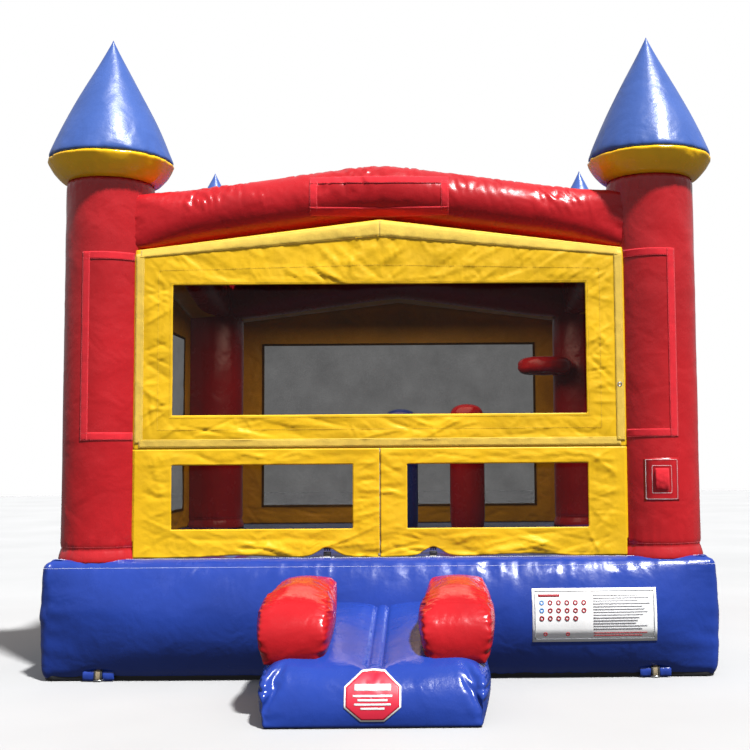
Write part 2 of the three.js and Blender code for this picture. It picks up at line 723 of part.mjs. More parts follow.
addPiece(bounceHouse, 'basketball_hoop', basketballHoop(), redVinyl);
for (const [name, { x, y, top, material }] of Object.entries(popups)) {
  addPiece(bounceHouse, `popup_${name}`, popup(top), material).position.set(x, y, 0);
}

// ---- Inflation tube ----

function inflationTube() {
  const start = BASE_HALF + 3;
  const outer = rodAlongY(TUBE_RADIUS, TUBE_X, TUBE_RADIUS + 2, start, TUBE_END_Y);
  return outer.subtract(rodAlongY(TUBE_RADIUS - SKIN, TUBE_X, TUBE_RADIUS + 2, start - 5, TUBE_END_Y + 5));
}

addPiece(bounceHouse, 'inflation_tube', inflationTube(), blueVinyl);

// ---- Hook-and-loop frames for art panels ----

function panelLoopFrame() {
  const y0 = -PANEL_Y - CLOTH - GAP - PATCH;
  const outer = wallSheet(gableOutline(DOOR_TOP + 20, 1), y0, y0 + PATCH);
  const inner = wallSheet(gableOutline(DOOR_TOP + 20 + STRIP, 1 + STRIP), y0 - 5, y0 + PATCH + 5);
  return outer.subtract(inner);
}

function frameOutline(x0, x1, z0, z1, sides) {
  const strips = {
    left: rectangle(x0, x0 + STRIP, z0, z1),
    right: rectangle(x1 - STRIP, x1, z0, z1),
    top: rectangle(x0, x1, z1 - STRIP, z1),
    bottom: rectangle(x0, x1, z0, z0 + STRIP),
  };
  return joinAll(sides.map((side) => wallSheet(strips[side], -2000, -1780)));
}

function beamLoopFrame() {
  const skin = solidBeam(BEAM_RADIUS + GAP + PATCH).subtract(solidBeam(BEAM_RADIUS + GAP));
  return skin.intersect(frameOutline(-430, 430, 2773, 3034, ['left', 'right', 'top', 'bottom']));
}

// A thin skin around a front tower, to be trimmed to a patch or a frame.
function towerSkin(x) {
  const [r0, r1] = [TOWER_RADIUS + GAP, TOWER_RADIUS + GAP + PATCH];
  return uprightRod(r1, x, -TOWER_OFFSET, 900, 2900).subtract(uprightRod(r0, x, -TOWER_OFFSET, 890, 2910));
}

const LOOP_FRAME = { outer: 1797, inner: 1492, low: 1412, high: 2560 };

function towerLoopFrame(side) {
  const [x0, x1] = [LOOP_FRAME.inner, LOOP_FRAME.outer].map((d) => side * d).sort((a, b) => a - b);
  const sides = ['top', 'bottom', side < 0 ? 'left' : 'right'];
  const strips = frameOutline(x0, x1, LOOP_FRAME.low, LOOP_FRAME.high, sides);
  return towerSkin(side * TOWER_OFFSET).intersect(strips);
}

function tetherPatch() {
  const cloth = wallSheet(rectangle(1588, 1794, 1031, 1286), -2000, -1780);
  const loopBack = -TOWER_OFFSET - TOWER_RADIUS - 1;
  const foldedStrap = box(1646, 1754, loopBack - 12, loopBack, 1079, 1233);
  return towerSkin(TOWER_OFFSET).intersect(cloth).add(foldedStrap);
}

addPiece(bounceHouse, 'panel_loop_frame', panelLoopFrame(), yellowVinyl);
addPiece(bounceHouse, 'beam_loop_frame', beamLoopFrame(), redVinyl);
addPiece(bounceHouse, 'tower_loop_frame_left', towerLoopFrame(-1), redVinyl);
addPiece(bounceHouse, 'tower_loop_frame_right', towerLoopFrame(1), redVinyl);
addPiece(bounceHouse, 'tether_patch', tetherPatch(), redVinyl);

export default bounceHouse;
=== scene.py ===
"""Looks of the inflatable bounce house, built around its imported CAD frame, in metres and +Z up.

Pieces are worked out around the middle of the square base, and build() shifts them to the frame.
"""

import math

import bpy
import numpy as np
from mathutils import Matrix, Vector
from mathutils.bvhtree import BVHTree


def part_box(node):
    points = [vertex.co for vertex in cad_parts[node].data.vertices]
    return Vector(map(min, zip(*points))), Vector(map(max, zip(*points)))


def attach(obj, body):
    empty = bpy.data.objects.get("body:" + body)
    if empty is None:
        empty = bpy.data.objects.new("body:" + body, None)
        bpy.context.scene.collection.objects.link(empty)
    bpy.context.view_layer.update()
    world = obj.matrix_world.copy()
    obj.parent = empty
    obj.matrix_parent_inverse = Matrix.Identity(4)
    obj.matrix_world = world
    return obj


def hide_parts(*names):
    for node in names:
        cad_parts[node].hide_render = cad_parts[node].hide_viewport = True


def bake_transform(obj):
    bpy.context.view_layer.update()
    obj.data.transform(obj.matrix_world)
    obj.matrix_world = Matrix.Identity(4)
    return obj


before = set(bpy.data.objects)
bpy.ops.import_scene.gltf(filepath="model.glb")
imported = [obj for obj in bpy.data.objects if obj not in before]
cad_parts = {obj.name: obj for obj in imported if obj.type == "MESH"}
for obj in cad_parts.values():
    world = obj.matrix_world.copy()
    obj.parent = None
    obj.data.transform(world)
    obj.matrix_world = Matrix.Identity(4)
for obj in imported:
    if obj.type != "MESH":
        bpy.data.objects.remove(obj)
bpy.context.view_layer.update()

# ---- Sizes read from the frame ----

base_low, base_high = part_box("base_wall")
MID_Y = (base_low.y + base_high.y) / 2
BASE_HALF = base_high.x
FLOOR_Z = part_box("bounce_floor")[1].z
GROUND_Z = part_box("ground_sheet")[1].z

tower_low, tower_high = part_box("column_front_left")
TOWER_X = -(tower_low.x + tower_high.x) / 2
TOWER_R = (tower_high.x - tower_low.x) / 2
TOWER_TOP = tower_high.z
collar_low, collar_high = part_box("collar_front_left")
COLLAR_R = (collar_high.x - collar_low.x) / 2
COLLAR_TOP = collar_high.z
TIP_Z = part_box("cone_front_left")[1].z

beam_low, beam_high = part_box("beam_front")
BEAM_R = (beam_high.y - beam_low.y) / 2
BEAM_PEAK_Z = beam_high.z - BEAM_R * 1.01
BEAM_SLOPE = 0.1376

panel_low, panel_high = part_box("panel_rear")
WALL_HALF = panel_high.x
WALL_Y = panel_high.y - MID_Y
WALL_BOTTOM = panel_low.z
GABLE_CORNER = 2.580
GABLE_PEAK = 2.762
WINDOW_HALF = 1.260
BAND_Z = 1.392
WINDOW_LOW = 0.875
WINDOW_HIGH = 2.360
UPPER_WINDOW_LOW = 1.563
DOOR_TOP = 1.357
DOOR_WINDOW_INNER = 0.165
DOOR_WINDOW_HIGH = 1.260
SLIT = 0.003
FRONT_STEP = 0.0095
OTHER_STEP = 0.0145
LIP_ANGLE = math.radians(-122)
NET_LAP = 0.020
TAPE = 0.050

step_low, step_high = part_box("step_cushion")
STEP_X = (step_low.x + step_high.x) / 2
STEP_FRONT = step_low.y - MID_Y
STEP_BACK = step_high.y - MID_Y
STEP_BACK_Z = step_high.z + 0.025

SIDES = {"front": 0, "right": 1, "rear": 2, "left": 3}
SIGNS = {"left": -1, "right": 1}
CORNERS = {"front_left": 0, "front_right": 1, "rear_right": 2, "rear_left": 3}


# ---- Numbers: noise and wrinkles ----

def noise(x, y, seed, period=64):
    """Smooth gradient noise from about -1 to 1. x repeats after the period."""
    angle = np.random.RandomState(seed).rand(64, 64) * 2 * math.pi
    x, y = np.broadcast_arrays(np.asarray(x, float), np.asarray(y, float))
    xi, yi = np.floor(x).astype(int), np.floor(y).astype(int)
    fx, fy = x - xi, y - yi

    def corner(i, j):
        a = angle[(xi + i) % period % 64, (yi + j) % 64]
        return np.cos(a) * (fx - i) + np.sin(a) * (fy - j)

    u = fx * fx * fx * (fx * (fx * 6 - 15) + 10)
    v = fy * fy * fy * (fy * (fy * 6 - 15) + 10)
    low = corner(0, 0) * (1 - u) + corner(1, 0) * u
    high = corner(0, 1) * (1 - u) + corner(1, 1) * u
    return 1.45 * (low * (1 - v) + high * v)


def creases(x, y, seed, size):
    """Cloth that was folded and crumpled: calm facets between thin broken ridges, from about -1 to 1."""
    wx = x + 0.40 * size * noise(x / size, y / size, seed)
    wy = y + 0.40 * size * noise(x / size, y / size, seed + 1)
    total = 0.45 * noise(wx / size * 0.8, wy / size * 0.8, seed + 2)
    for octave, (share, sign, width) in enumerate(((1.0, 1, 0.24), (0.9, -1, 0.26), (0.6, 1, 0.30))):
        k = 1.6 ** octave / size
        away = np.abs(noise(wx * k, wy * k, seed + 7 + octave)) / width
        strength = np.clip(0.5 + 1.6 * noise(wx * k * 0.45, wy * k * 0.45, seed + 17 + octave), 0, 1)
        total = total + sign * share * strength * np.maximum(0, 1 - away) ** 1.2
    return total


def pleats(run, reach, seed, period=64):
    """Sharp folds across a seam. run counts the folds, reach runs away from the seam."""
    away = np.abs(noise(run, reach, seed, period)) / 0.33
    finer = noise(run * 2, reach, seed + 1, period * 2)
    return 0.45 - np.maximum(0, 1 - away) ** 1.1 + 0.30 * finer


def bell(distance, reach):
    return np.exp(-(distance / reach) ** 2)


def smooth(low, high, value):
    t = np.clip((value - low) / (high - low), 0, 1)
    return t * t * (3 - 2 * t)


def unit(vectors):
    return vectors / (np.linalg.norm(vectors, axis=-1, keepdims=True) + 1e-12)


def running(path):
    """How far along a path each of its points is."""
    return np.concatenate([[0], np.cumsum(np.linalg.norm(np.diff(path, axis=0), axis=1))])


def grid(us, vs):
    return np.meshgrid(us, vs, indexing="ij")


def rectangle(sides, out=0.0):
    """The corners of a rectangle, closed, from its x and z sides moved outwards."""
    x0, x1, z0, z1 = sides
    return [(x0 - out, z0 - out), (x1 + out, z0 - out), (x1 + out, z1 + out), (x0 - out, z1 + out),
            (x0 - out, z0 - out)]


def circle(count):
    """Angles of evenly spaced points round a circle."""
    return np.linspace(0, 2 * math.pi, count, endpoint=False)


# ---- Meshes ----

def grid_faces(nu, nv, close_u=False, close_v=False, keep=None, flip=False):
    """Quads over a grid of nu by nv points, without the cells that keep marks False."""
    iu = np.arange(nu if close_u else nu - 1)
    iv = np.arange(nv if close_v else nv - 1)
    u, v = np.meshgrid(iu, iv, indexing="ij")
    if keep is not None:
        u, v = u[keep], v[keep]
    u, v = u.ravel(), v.ravel()
    un, vn = (u + 1) % nu, (v + 1) % nv
    quads = np.stack([u * nv + v, un * nv + v, un * nv + vn, u * nv + vn], 1)
    return quads[:, ::-1] if flip else quads


def build(name, points, faces, material, body="root", smooth_faces=True, node=None, thick=0.0,
          offset=0.0):
    """A mesh object from points worked out around the base's middle, made thick, with the CAD node it stands
    for hidden.
    """
    points = np.asarray(points, float).reshape(-1, 3) + (0, MID_Y, 0)
    faces = np.asarray(faces)
    used = np.unique(faces)
    lookup = np.zeros(len(points), int)
    lookup[used] = np.arange(len(used))
    mesh = bpy.data.meshes.new(name)
    mesh.from_pydata(points[used].tolist(), [], lookup[faces].tolist())
    mesh.polygons.foreach_set("use_smooth", [smooth_faces] * len(mesh.polygons))
    mesh.materials.append(material)
    mesh.update()
    piece = bpy.data.objects.new(name, mesh)
    bpy.context.scene.collection.objects.link(piece)
    if body:
        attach(piece, body)
    if thick:
        solid = piece.modifiers.new("thickness", "SOLIDIFY")
        solid.thickness = thick
        solid.offset = offset
        apply_modifiers(piece)
    declare(node)
    return piece


def declare(node=None):
    """Hides the CAD node that a piece stands for, if it names one."""
    if node:
        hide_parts(node)


def apply_modifiers(piece):
    bpy.context.view_layer.update()
    evaluated = piece.evaluated_get(bpy.context.evaluated_depsgraph_get())
    mesh = bpy.data.meshes.new_from_object(evaluated)
    piece.modifiers.clear()
    piece.data = mesh


def turn_points(points, quarter):
    """Turned about the middle of the base by quarter turns, from the front to the right, rear and left."""
    x, y, z = np.moveaxis(np.asarray(points, float), -1, 0)
    for _ in range(quarter):
        x, y = -y, x
    return np.stack([x, y, z], -1)


def normals_of(points, close_u=False):
    """Normals of a grid of points, out of the side from which u runs right and v runs up."""
    if close_u:
        du = np.roll(points, -1, 0) - np.roll(points, 1, 0)
    else:
        du = np.gradient(points, axis=0)
    return unit(np.cross(du, np.gradient(points, axis=1)))


# ---- Materials ----

class Nodes:
    """A node material, with short ways to add and join its nodes."""

    def __init__(self, name):
        self.material = bpy.data.materials.new(name)
        self.material.use_nodes = True
        self.tree = self.material.node_tree
        self.shader = self.tree.nodes["Principled BSDF"]
        self.place = self.tree.nodes.new("ShaderNodeTexCoord").outputs["Object"]

    def join(self, value, socket):
        """Gives a socket a value, or a link from another node's output."""
        if isinstance(value, bpy.types.NodeSocket):
            self.tree.links.new(value, socket)
        else:
            socket.default_value = value

    def add(self, kind, output, **values):
        node = self.tree.nodes.new("ShaderNode" + kind)
        for name, value in values.items():
            self.join(value, node.inputs[name.replace("_", " ")])
        return node.outputs[output]

    def set(self, **values):
        for name, value in values.items():
            self.join(value, self.shader.inputs[name.replace("_", " ")])

    def noise(self, scale, detail=3.0, roughness=0.5, distortion=0.0):
        return self.add("TexNoise", "Fac", Vector=self.place, Scale=scale, Detail=detail, Roughness=roughness,
                        Distortion=distortion)

    def cells(self, scale):
        distance = self.add("TexVoronoi", "Distance", Vector=self.place, Scale=scale)
        distance.node.feature = "DISTANCE_TO_EDGE"
        return distance

    def stripes(self, scale, direction):
        wave = self.add("TexWave", "Fac", Vector=self.place, Scale=scale)
        wave.node.bands_direction = direction
        return wave

    def weave(self, across, along=None):
        """Threads that cross, as a product of two sets of stripes."""
        return self.math("MULTIPLY", self.stripes(across, "X"), self.stripes(along or across, "Z"))

    def tint(self, factor, low, dark, high, light):
        """The base colour runs from dark to light as the factor runs from low to high."""
        ramp = self.tree.nodes.new("ShaderNodeValToRGB")
        for element, position, color in zip(ramp.color_ramp.elements, (low, high), (dark, light)):
            element.position = position
            element.color = (*color, 1)
        self.join(factor, ramp.inputs["Fac"])
        self.set(Base_Color=ramp.outputs["Color"])

    def range(self, value, low, high, from_low=0.0, from_high=1.0):
        return self.add("MapRange", "Result", Value=value, From_Min=from_low, From_Max=from_high, To_Min=low,
                        To_Max=high)

    def math(self, kind, a, b):
        node = self.tree.nodes.new("ShaderNodeMath")
        node.operation = kind
        for socket, value in zip(node.inputs, (a, b)):
            self.join(value, socket)
        return node.outputs["Value"]

    def mean(self, a, b):
        return self.math("ADD", self.math("MULTIPLY", a, 0.5), self.math("MULTIPLY", b, 0.5))

    def bump(self, *layers):
        """layers are (height, distance in metres), the broadest first."""
        below = {}
        for height, distance in layers:
            bump = self.add("Bump", "Normal", Strength=1.0, Distance=distance, Height=height, **below)
            below = {"Normal": bump}
        self.set(**below)


def shade(color, amount):
    return tuple(min(1.0, c * amount) for c in color)


def vinyl(name, color, roughness=0.22, specular=0.42):
    """Coated vinyl held out by air: glossy, faintly dusty, with fine creases over a woven base cloth."""
    m = Nodes(name)
    m.tint(m.noise(1.7, 4.0, 0.6), 0.3, shade(color, 0.86), 0.7, shade(color, 1.1))
    smudge = m.range(m.noise(5.5, 5.0, 0.65), roughness - 0.07, roughness + 0.13, 0.3, 0.75)
    m.set(Roughness=smudge, Specular_IOR_Level=specular, IOR=1.5)
    folds, fine = m.noise(5.0, 2.0, 0.5, distortion=0.6), m.noise(34.0, 3.0, 0.6)
    m.bump((folds, 0.009), (fine, 0.00126), (m.weave(160.0), 0.00004))
    return m.material


def creased_cloth(name, color):
    """Thin coated cloth with hard crease lines and crumples."""
    m = Nodes(name)
    m.tint(m.noise(2.2, 4.0, 0.6), 0.3, shade(color, 0.9), 0.7, shade(color, 1.07))
    m.set(Roughness=m.range(m.noise(7.0, 4.0, 0.6), 0.34, 0.56, 0.3, 0.7), Specular_IOR_Level=0.25)
    warped, fine = m.noise(3.0, 3.0, 0.6, distortion=1.2), m.noise(22.0, 4.0, 0.62, distortion=0.8)
    m.bump((warped, 0.0035), (m.cells(9.0), 0.0012), (fine, 0.0013), (m.weave(180.0), 0.00005))
    return m.material


def loop_tape(name, color, sheen=0.35):
    """Fuzzy loop tape, a matte brushed pile."""
    m = Nodes(name)
    pile, patches = m.noise(420.0, 2.0, 0.7), m.noise(14.0, 3.0, 0.6)
    m.tint(m.mean(pile, patches), 0.3, shade(color, 0.78), 0.7, shade(color, 1.15))
    m.set(Roughness=0.85, Specular_IOR_Level=0.25, Sheen_Weight=sheen, Sheen_Roughness=0.5)
    m.bump((patches, 0.004), (pile, 0.0006))
    return m.material


def netting(name, opacity):
    """Fine black net: dark cords with open holes between them."""
    m = Nodes(name)
    m.set(Base_Color=(0.004, 0.004, 0.004, 1), Roughness=0.9, Specular_IOR_Level=0.06)
    holes = m.mean(m.noise(5.0, 3.0, 0.6), m.noise(170.0, 2.0, 0.5))
    m.set(Alpha=m.range(holes, opacity - 0.05, opacity + 0.05, 0.35, 0.65))
    return m.material


def webbing(name, color):
    """Woven strap with a visible ribbed weave."""
    m = Nodes(name)
    weave = m.weave(90.0, 140.0)
    m.tint(weave, 0.1, shade(color, 0.6), 0.8, shade(color, 1.25))
    m.set(Roughness=0.7, Specular_IOR_Level=0.35)
    m.bump((weave, 0.0005))
    return m.material


def moulded(name, color, roughness=0.42):
    """Moulded plastic with a fine spark-eroded grain."""
    m = Nodes(name)
    m.tint(m.noise(40.0, 3.0, 0.6), 0.35, color, 0.8, shade(color, 1.5))
    m.set(Roughness=roughness)
    m.bump((m.noise(600.0, 2.0, 0.5), 0.0001))
    return m.material


def plated(name):
    """Zinc-plated wire, slightly dulled."""
    m = Nodes(name)
    dull = m.noise(60.0, 4.0, 0.6)
    m.tint(dull, 0.3, (0.42, 0.42, 0.42), 0.7, (0.62, 0.62, 0.6))
    m.set(Roughness=m.range(dull, 0.2, 0.42), Metallic=1.0)
    m.bump((m.noise(220.0, 2.0, 0.5), 0.0001))
    return m.material


def printed(name, color):
    """Printed banner vinyl, flat and faintly woven."""
    m = Nodes(name)
    m.tint(m.noise(6.0, 3.0, 0.5), 0.3, shade(color, 0.94), 0.7, color)
    m.set(Roughness=0.42)
    m.bump((m.noise(7.0, 3.0, 0.5), 0.003), (m.weave(200.0), 0.00005))
    return m.material


BLUE = (0.013, 0.037, 0.235)
CONE_BLUE = (0.040, 0.088, 0.30)
RED = (0.37, 0.009, 0.013)
CLOTH_YELLOW = (0.66, 0.39, 0.008)

blue_vinyl = vinyl("blue vinyl", BLUE)
cone_vinyl = vinyl("cone vinyl", CONE_BLUE, roughness=0.34, specular=0.34)
red_vinyl = vinyl("red vinyl", RED)
# The collars' yellow is painted brighter than the vinyl's own colour: painted fill light, standing in for
# light thrown up from the ground onto their undersides.
collar_vinyl_painted_fill = vinyl("collar vinyl", (0.92, 0.50, 0.008))
beam_vinyl = vinyl("beam red vinyl", RED, roughness=0.26, specular=0.26)
base_vinyl = vinyl("base blue vinyl", BLUE, specular=0.32)
step_vinyl = vinyl("step blue vinyl", BLUE, specular=0.26)
bolster_vinyl = vinyl("bolster red vinyl", RED, specular=0.20)
yellow_cloth = creased_cloth("yellow cloth", CLOTH_YELLOW)
blue_cloth = creased_cloth("blue roof cloth", BLUE)
black_cloth = creased_cloth("black ground cloth", (0.018, 0.018, 0.02))
yellow_tape = loop_tape("yellow loop tape", (0.62, 0.42, 0.055))
red_tape = loop_tape("red loop tape", (0.55, 0.010, 0.020), 0.1)
black_net = netting("black net", 0.66)
white_thread = moulded("white thread", (0.72, 0.74, 0.78), 0.6)
pink_thread = moulded("pink thread", (0.52, 0.07, 0.08), 0.6)
gold_thread = moulded("gold thread", (0.50, 0.33, 0.02), 0.6)
navy_thread = moulded("navy thread", (0.03, 0.05, 0.25), 0.6)
strap_grey = webbing("grey webbing", (0.35, 0.33, 0.30))
strap_tan = webbing("tan webbing", (0.30, 0.24, 0.15))
strap_black = webbing("black webbing", (0.03, 0.03, 0.03))
slit_tape = webbing("slit tape", (0.45, 0.40, 0.30))
buckle_plastic = moulded("black buckle plastic", (0.012, 0.012, 0.014))
ring_metal = plated("plated ring")
sign_white = printed("sign white", (0.80, 0.80, 0.79))
sign_grey = printed("sign grey", (0.30, 0.31, 0.33))
sign_red = printed("sign red", (0.50, 0.012, 0.035))
sign_dark_red = printed("sign dark red", (0.32, 0.02, 0.03))
sign_line = printed("sign line", (0.34, 0.34, 0.36))
sign_blue = printed("sign blue", (0.10, 0.25, 0.55))
grommet_metal = plated("grommet metal")


# ---- Stitching ----

STITCH_PITCH = 0.011
STITCH_LENGTH = 0.0075
STITCH_HALF = 0.0011
STITCH_INSET = 0.18 * STITCH_LENGTH
STITCH_SUNK = 0.0008
STITCH_PROUD = 0.0009


def stitches(name, path, normals, material, body="root", closed=False, lift=0.0006):
    """A row of short raised threads along a path on a surface."""
    path, normals = np.asarray(path, float), np.asarray(normals, float)
    if closed:
        path, normals = np.vstack([path, path[:1]]), np.vstack([normals, normals[:1]])
    run = running(path)
    count = int(run[-1] / STITCH_PITCH)
    middle = (np.arange(count) + 0.5) * run[-1] / count

    def along(distance, values):
        return np.stack([np.interp(distance, run, values[:, k]) for k in range(3)], 1)

    start, end = (along(middle + side * STITCH_LENGTH / 2, path) for side in (-1, 1))
    normal, forward = unit(along(middle, normals)), unit(end - start)
    across = np.cross(normal, forward) * STITCH_HALF
    foot, top = normal * (lift - STITCH_SUNK), normal * (lift + STITCH_PROUD)
    inset = forward * STITCH_INSET
    corners = [
        start - across + foot, start + across + foot, end + across + foot, end - across + foot,
        start - across * 0.5 + inset + top, start + across * 0.5 + inset + top,
        end + across * 0.5 - inset + top, end - across * 0.5 - inset + top,
    ]
    quads = np.array([(0, 3, 2, 1), (4, 5, 6, 7), (0, 1, 5, 4), (1, 2, 6, 5), (2, 3, 7, 6), (3, 0, 4, 7)])
    faces = (np.arange(count)[:, None, None] * 8 + quads).reshape(-1, 4)
    return build(name, np.stack(corners, 1), faces, material, body, smooth_faces=False)


# ---- Base ----

BASE_CORNER = 0.045
WALL_ROWS = 52


def square_path(half, corner, spacing=0.026, corner_steps=9):
    """Points round a square with rounded corners, from the front left, and how near each is to a corner."""
    straight = half - corner
    line = np.linspace(-straight, straight, int(2 * straight / spacing) + 1)
    front = np.stack([line, np.full_like(line, -half)], 1)
    angles = np.linspace(-math.pi / 2, 0, corner_steps + 2)[1:-1]
    bend = np.stack([straight + corner * np.cos(angles), -straight + corner * np.sin(angles)], 1)
    whole = [np.vstack([front, bend])]
    for _ in range(3):
        whole.append(np.stack([-whole[-1][:, 1], whole[-1][:, 0]], 1))
    path = np.vstack(whole)
    tangent = unit(np.roll(path, -1, 0) - np.roll(path, 1, 0))
    outward = np.stack([tangent[:, 1], -tangent[:, 0]], 1)
    run = np.cumsum(np.linalg.norm(path - np.roll(path, 1, 0), axis=1))
    nearness = half - np.abs(path).min(axis=1)
    return path, outward, run, np.maximum(nearness, 0)


FACE_FOOT = 0.040
SEAM_LOW = 0.662  # the lower of the two seams along the base's top edge
SEAM_HIGH = 0.7045
BASE_BULGE = 0.115
BASE_FACE = BASE_HALF + 0.016
base_path, base_out, base_run, base_corner_distance = square_path(BASE_FACE, BASE_CORNER)


def base_profile(share):
    """How far out and how high the base's wall is, from under its foot to the edge of the floor."""
    foot = [(-0.085, GROUND_Z + 0.001), (-0.045, GROUND_Z + 0.003), (-0.016, 0.018), (-0.004, FACE_FOOT)]
    rise = [(0.0, FACE_FOOT + (SEAM_LOW - FACE_FOOT) * t) for t in np.linspace(0.03, 1, 26)]
    shoulder = [(-0.012, 0.682), (-0.036, 0.697), (-0.064, 0.704), (-0.094, SEAM_HIGH), (-0.112, 0.700)]
    points = np.array(foot + rise + shoulder)
    run = running(points)
    at = np.asarray(share) * run[-1]
    return np.interp(at, run, points[:, 0]), np.interp(at, run, points[:, 1])


RING_XS = {"left": -1.650, "right": 1.620}
RING_WIRE = 0.004


def beside_ring(path):
    """1 beside an anchor ring and 0 away from it, where the cloth draws in so that the ring can lift."""
    x, y = path[..., 0], path[..., 1]
    near = sum(bell(x + ring_x * np.sign(y), 0.070) for ring_x in RING_XS.values())
    return near * (np.abs(y) > BASE_HALF - 0.05)


def base_surface():
    out, height = base_profile(np.linspace(0, 1, WALL_ROWS)[None, :])
    run, corner = base_run[:, None], base_corner_distance[:, None]
    middle = np.clip(np.sin(np.pi * np.clip((height - FACE_FOOT) / (SEAM_LOW - FACE_FOOT), 0, 1)), 0, 1)
    # A seam gathers the cloth beside it into short upright puckers, and the corners into long ones.
    by_seam = np.exp(-np.abs(height - SEAM_LOW) / 0.085) * (height < 0.69)
    by_foot = np.exp(-np.abs(height - FACE_FOOT) / 0.07)
    pucker = pleats(run / 0.060, height / 0.5, 11)
    pucker = pucker * np.clip(0.6 + 0.9 * noise(run / 0.40, 0.5, 16), 0.15, 1.3)
    wave = noise(run / 0.32, height / 0.35, 13)
    corner_folds = bell(corner, 0.30) * middle * noise(height / 0.075 + run / 0.9, run / 0.4, 14)
    swollen = BASE_BULGE * middle ** 0.8 * (0.10 + 0.90 * (1 - np.exp(-(corner / 0.30) ** 1.3)))
    moved = out + swollen + 0.0105 * by_seam * pucker + 0.005 * by_foot * pucker
    moved = moved + 0.006 * wave * middle + 0.007 * corner_folds
    moved = moved - 0.024 * beside_ring(base_path)[:, None] * smooth(0.085, 0.052, height)
    sunk = 0.0022 * by_seam * pucker
    sunk = sunk - 0.0035 * bell(height - 0.704, 0.02) * np.abs(noise(run / 0.09, 0.5, 15))
    flat = base_path[:, None, :] + base_out[:, None, :] * moved[:, :, None]
    return np.concatenate([flat, (height + sunk)[:, :, None]], 2)


base_points = base_surface()
base_normals = normals_of(base_points, close_u=True)


def make_base():
    nu, nv = base_points.shape[:2]
    wall = build("base_wall_vinyl", base_points, grid_faces(nu, nv, close_u=True), base_vinyl,
                 node="base_wall", thick=0.003, offset=-1.0)
    _, heights = base_profile(np.linspace(0, 1, WALL_ROWS))
    for name, height in (("lower", SEAM_LOW), ("upper", SEAM_HIGH)):
        row = int(np.argmin(np.abs(heights - height)))
        stitches(f"base_seam_{name}", base_points[:, row], base_normals[:, row], white_thread,
                 closed=True)


TUBE_WIDTH = 0.475
FLOOR_STEPS = 160


def make_floor():
    """The bounce floor, drawn down into long tubes by the baffles under it."""
    half = BASE_HALF - 0.085
    line = np.linspace(-half, half, FLOOR_STEPS)
    x, y = grid(line, line)
    edge = np.minimum(half - np.abs(x), half - np.abs(y))
    ribs = np.abs(np.sin(math.pi * x / TUBE_WIDTH)) ** 0.6
    drop = 0.034 * (1 - ribs) * smooth(0.0, 0.25, edge)
    crumple = 0.004 * creases(x, y, 21, 0.35) * smooth(0, 0.1, edge)
    z = FLOOR_Z - 0.002 - drop + crumple
    build("bounce_floor_vinyl", np.stack([x, y, z], -1), grid_faces(FLOOR_STEPS, FLOOR_STEPS), blue_vinyl,
          node="bounce_floor", thick=0.003, offset=-1.0)


# ---- Towers ----

FOOT_SEAM = 0.765
CONE_FOLDS = 34
TOWER_STEPS = 112


def tower_radius(angle, z, seed):
    """Radius of a tower's column, with wrinkles beside its seams."""
    around = angle / (2 * math.pi)
    foot = np.exp(-np.abs(z - FOOT_SEAM) / 0.10)
    top = np.exp(-np.abs(z - TOWER_TOP) / 0.12)
    fine = pleats(around * 30, z / 0.5, seed, 30)
    slow = noise(around * 6, z / 0.6, seed + 2, 6)
    lean = noise(around * 10 + z * 3, z / 0.22, seed + 3, 10)
    middle = smooth(0.8, 1.4, z) * smooth(2.9, 2.3, z)
    ripples = noise(around * 5, z / 0.040, seed + 4, 5)
    ripples = ripples * np.clip(noise(around * 5, z / 0.3, seed + 8, 5) + 0.25, 0, 1)
    r = TOWER_R - 0.0015 - 0.008 * bell(z - FOOT_SEAM, 0.012) - 0.010 * bell(z - TOWER_TOP, 0.02)
    r = r + 0.0060 * (foot + top) * fine + 0.0030 * slow * middle + 0.0026 * ripples * middle
    spread = 0.012 * smooth(FOOT_SEAM - 0.01, 0.70, z)
    return r + 0.0045 * lean * bell(z - 2.72, 0.22) + spread


def tower_point(angle, z, x, y, seed):
    r = tower_radius(angle, z, seed)
    return np.stack([x + r * np.cos(angle), y + r * np.sin(angle), z + 0 * r], -1)


def revolved(name, profile, x, y, material, relief, node, steps=TOWER_STEPS):
    """A shell turned about an upright axis. relief(angle, row share, height) moves it outwards."""
    angle = circle(steps)[:, None]
    r, z = np.asarray(profile, float).T[:, None, :]
    share = np.linspace(0, 1, r.size)[None, :]
    radius = np.maximum(r + relief(angle, share, z), 0.0015)
    points = np.stack([x + radius * np.cos(angle), y + radius * np.sin(angle), z + 0 * angle], -1)
    build(name, points, grid_faces(steps, r.size, close_u=True), material, node=node, thick=0.003,
          offset=-1.0)


def smooth_profile(points, count):
    """A rounded line through a few [radius, height] points."""
    points = np.asarray(points, float)
    run = np.linspace(0, len(points) - 1, count)
    lower = np.clip(np.floor(run).astype(int), 0, len(points) - 2)
    t = (run - lower)[:, None]
    before, after = np.maximum(lower - 1, 0), np.minimum(lower + 2, len(points) - 1)
    p0, p1, p2, p3 = points[before], points[lower], points[lower + 1], points[after]
    return 0.5 * (
        2 * p1 + (p2 - p0) * t + (2 * p0 - 5 * p1 + 4 * p2 - p3) * t ** 2
        + (3 * p1 - p0 - 3 * p2 + p3) * t ** 3
    )


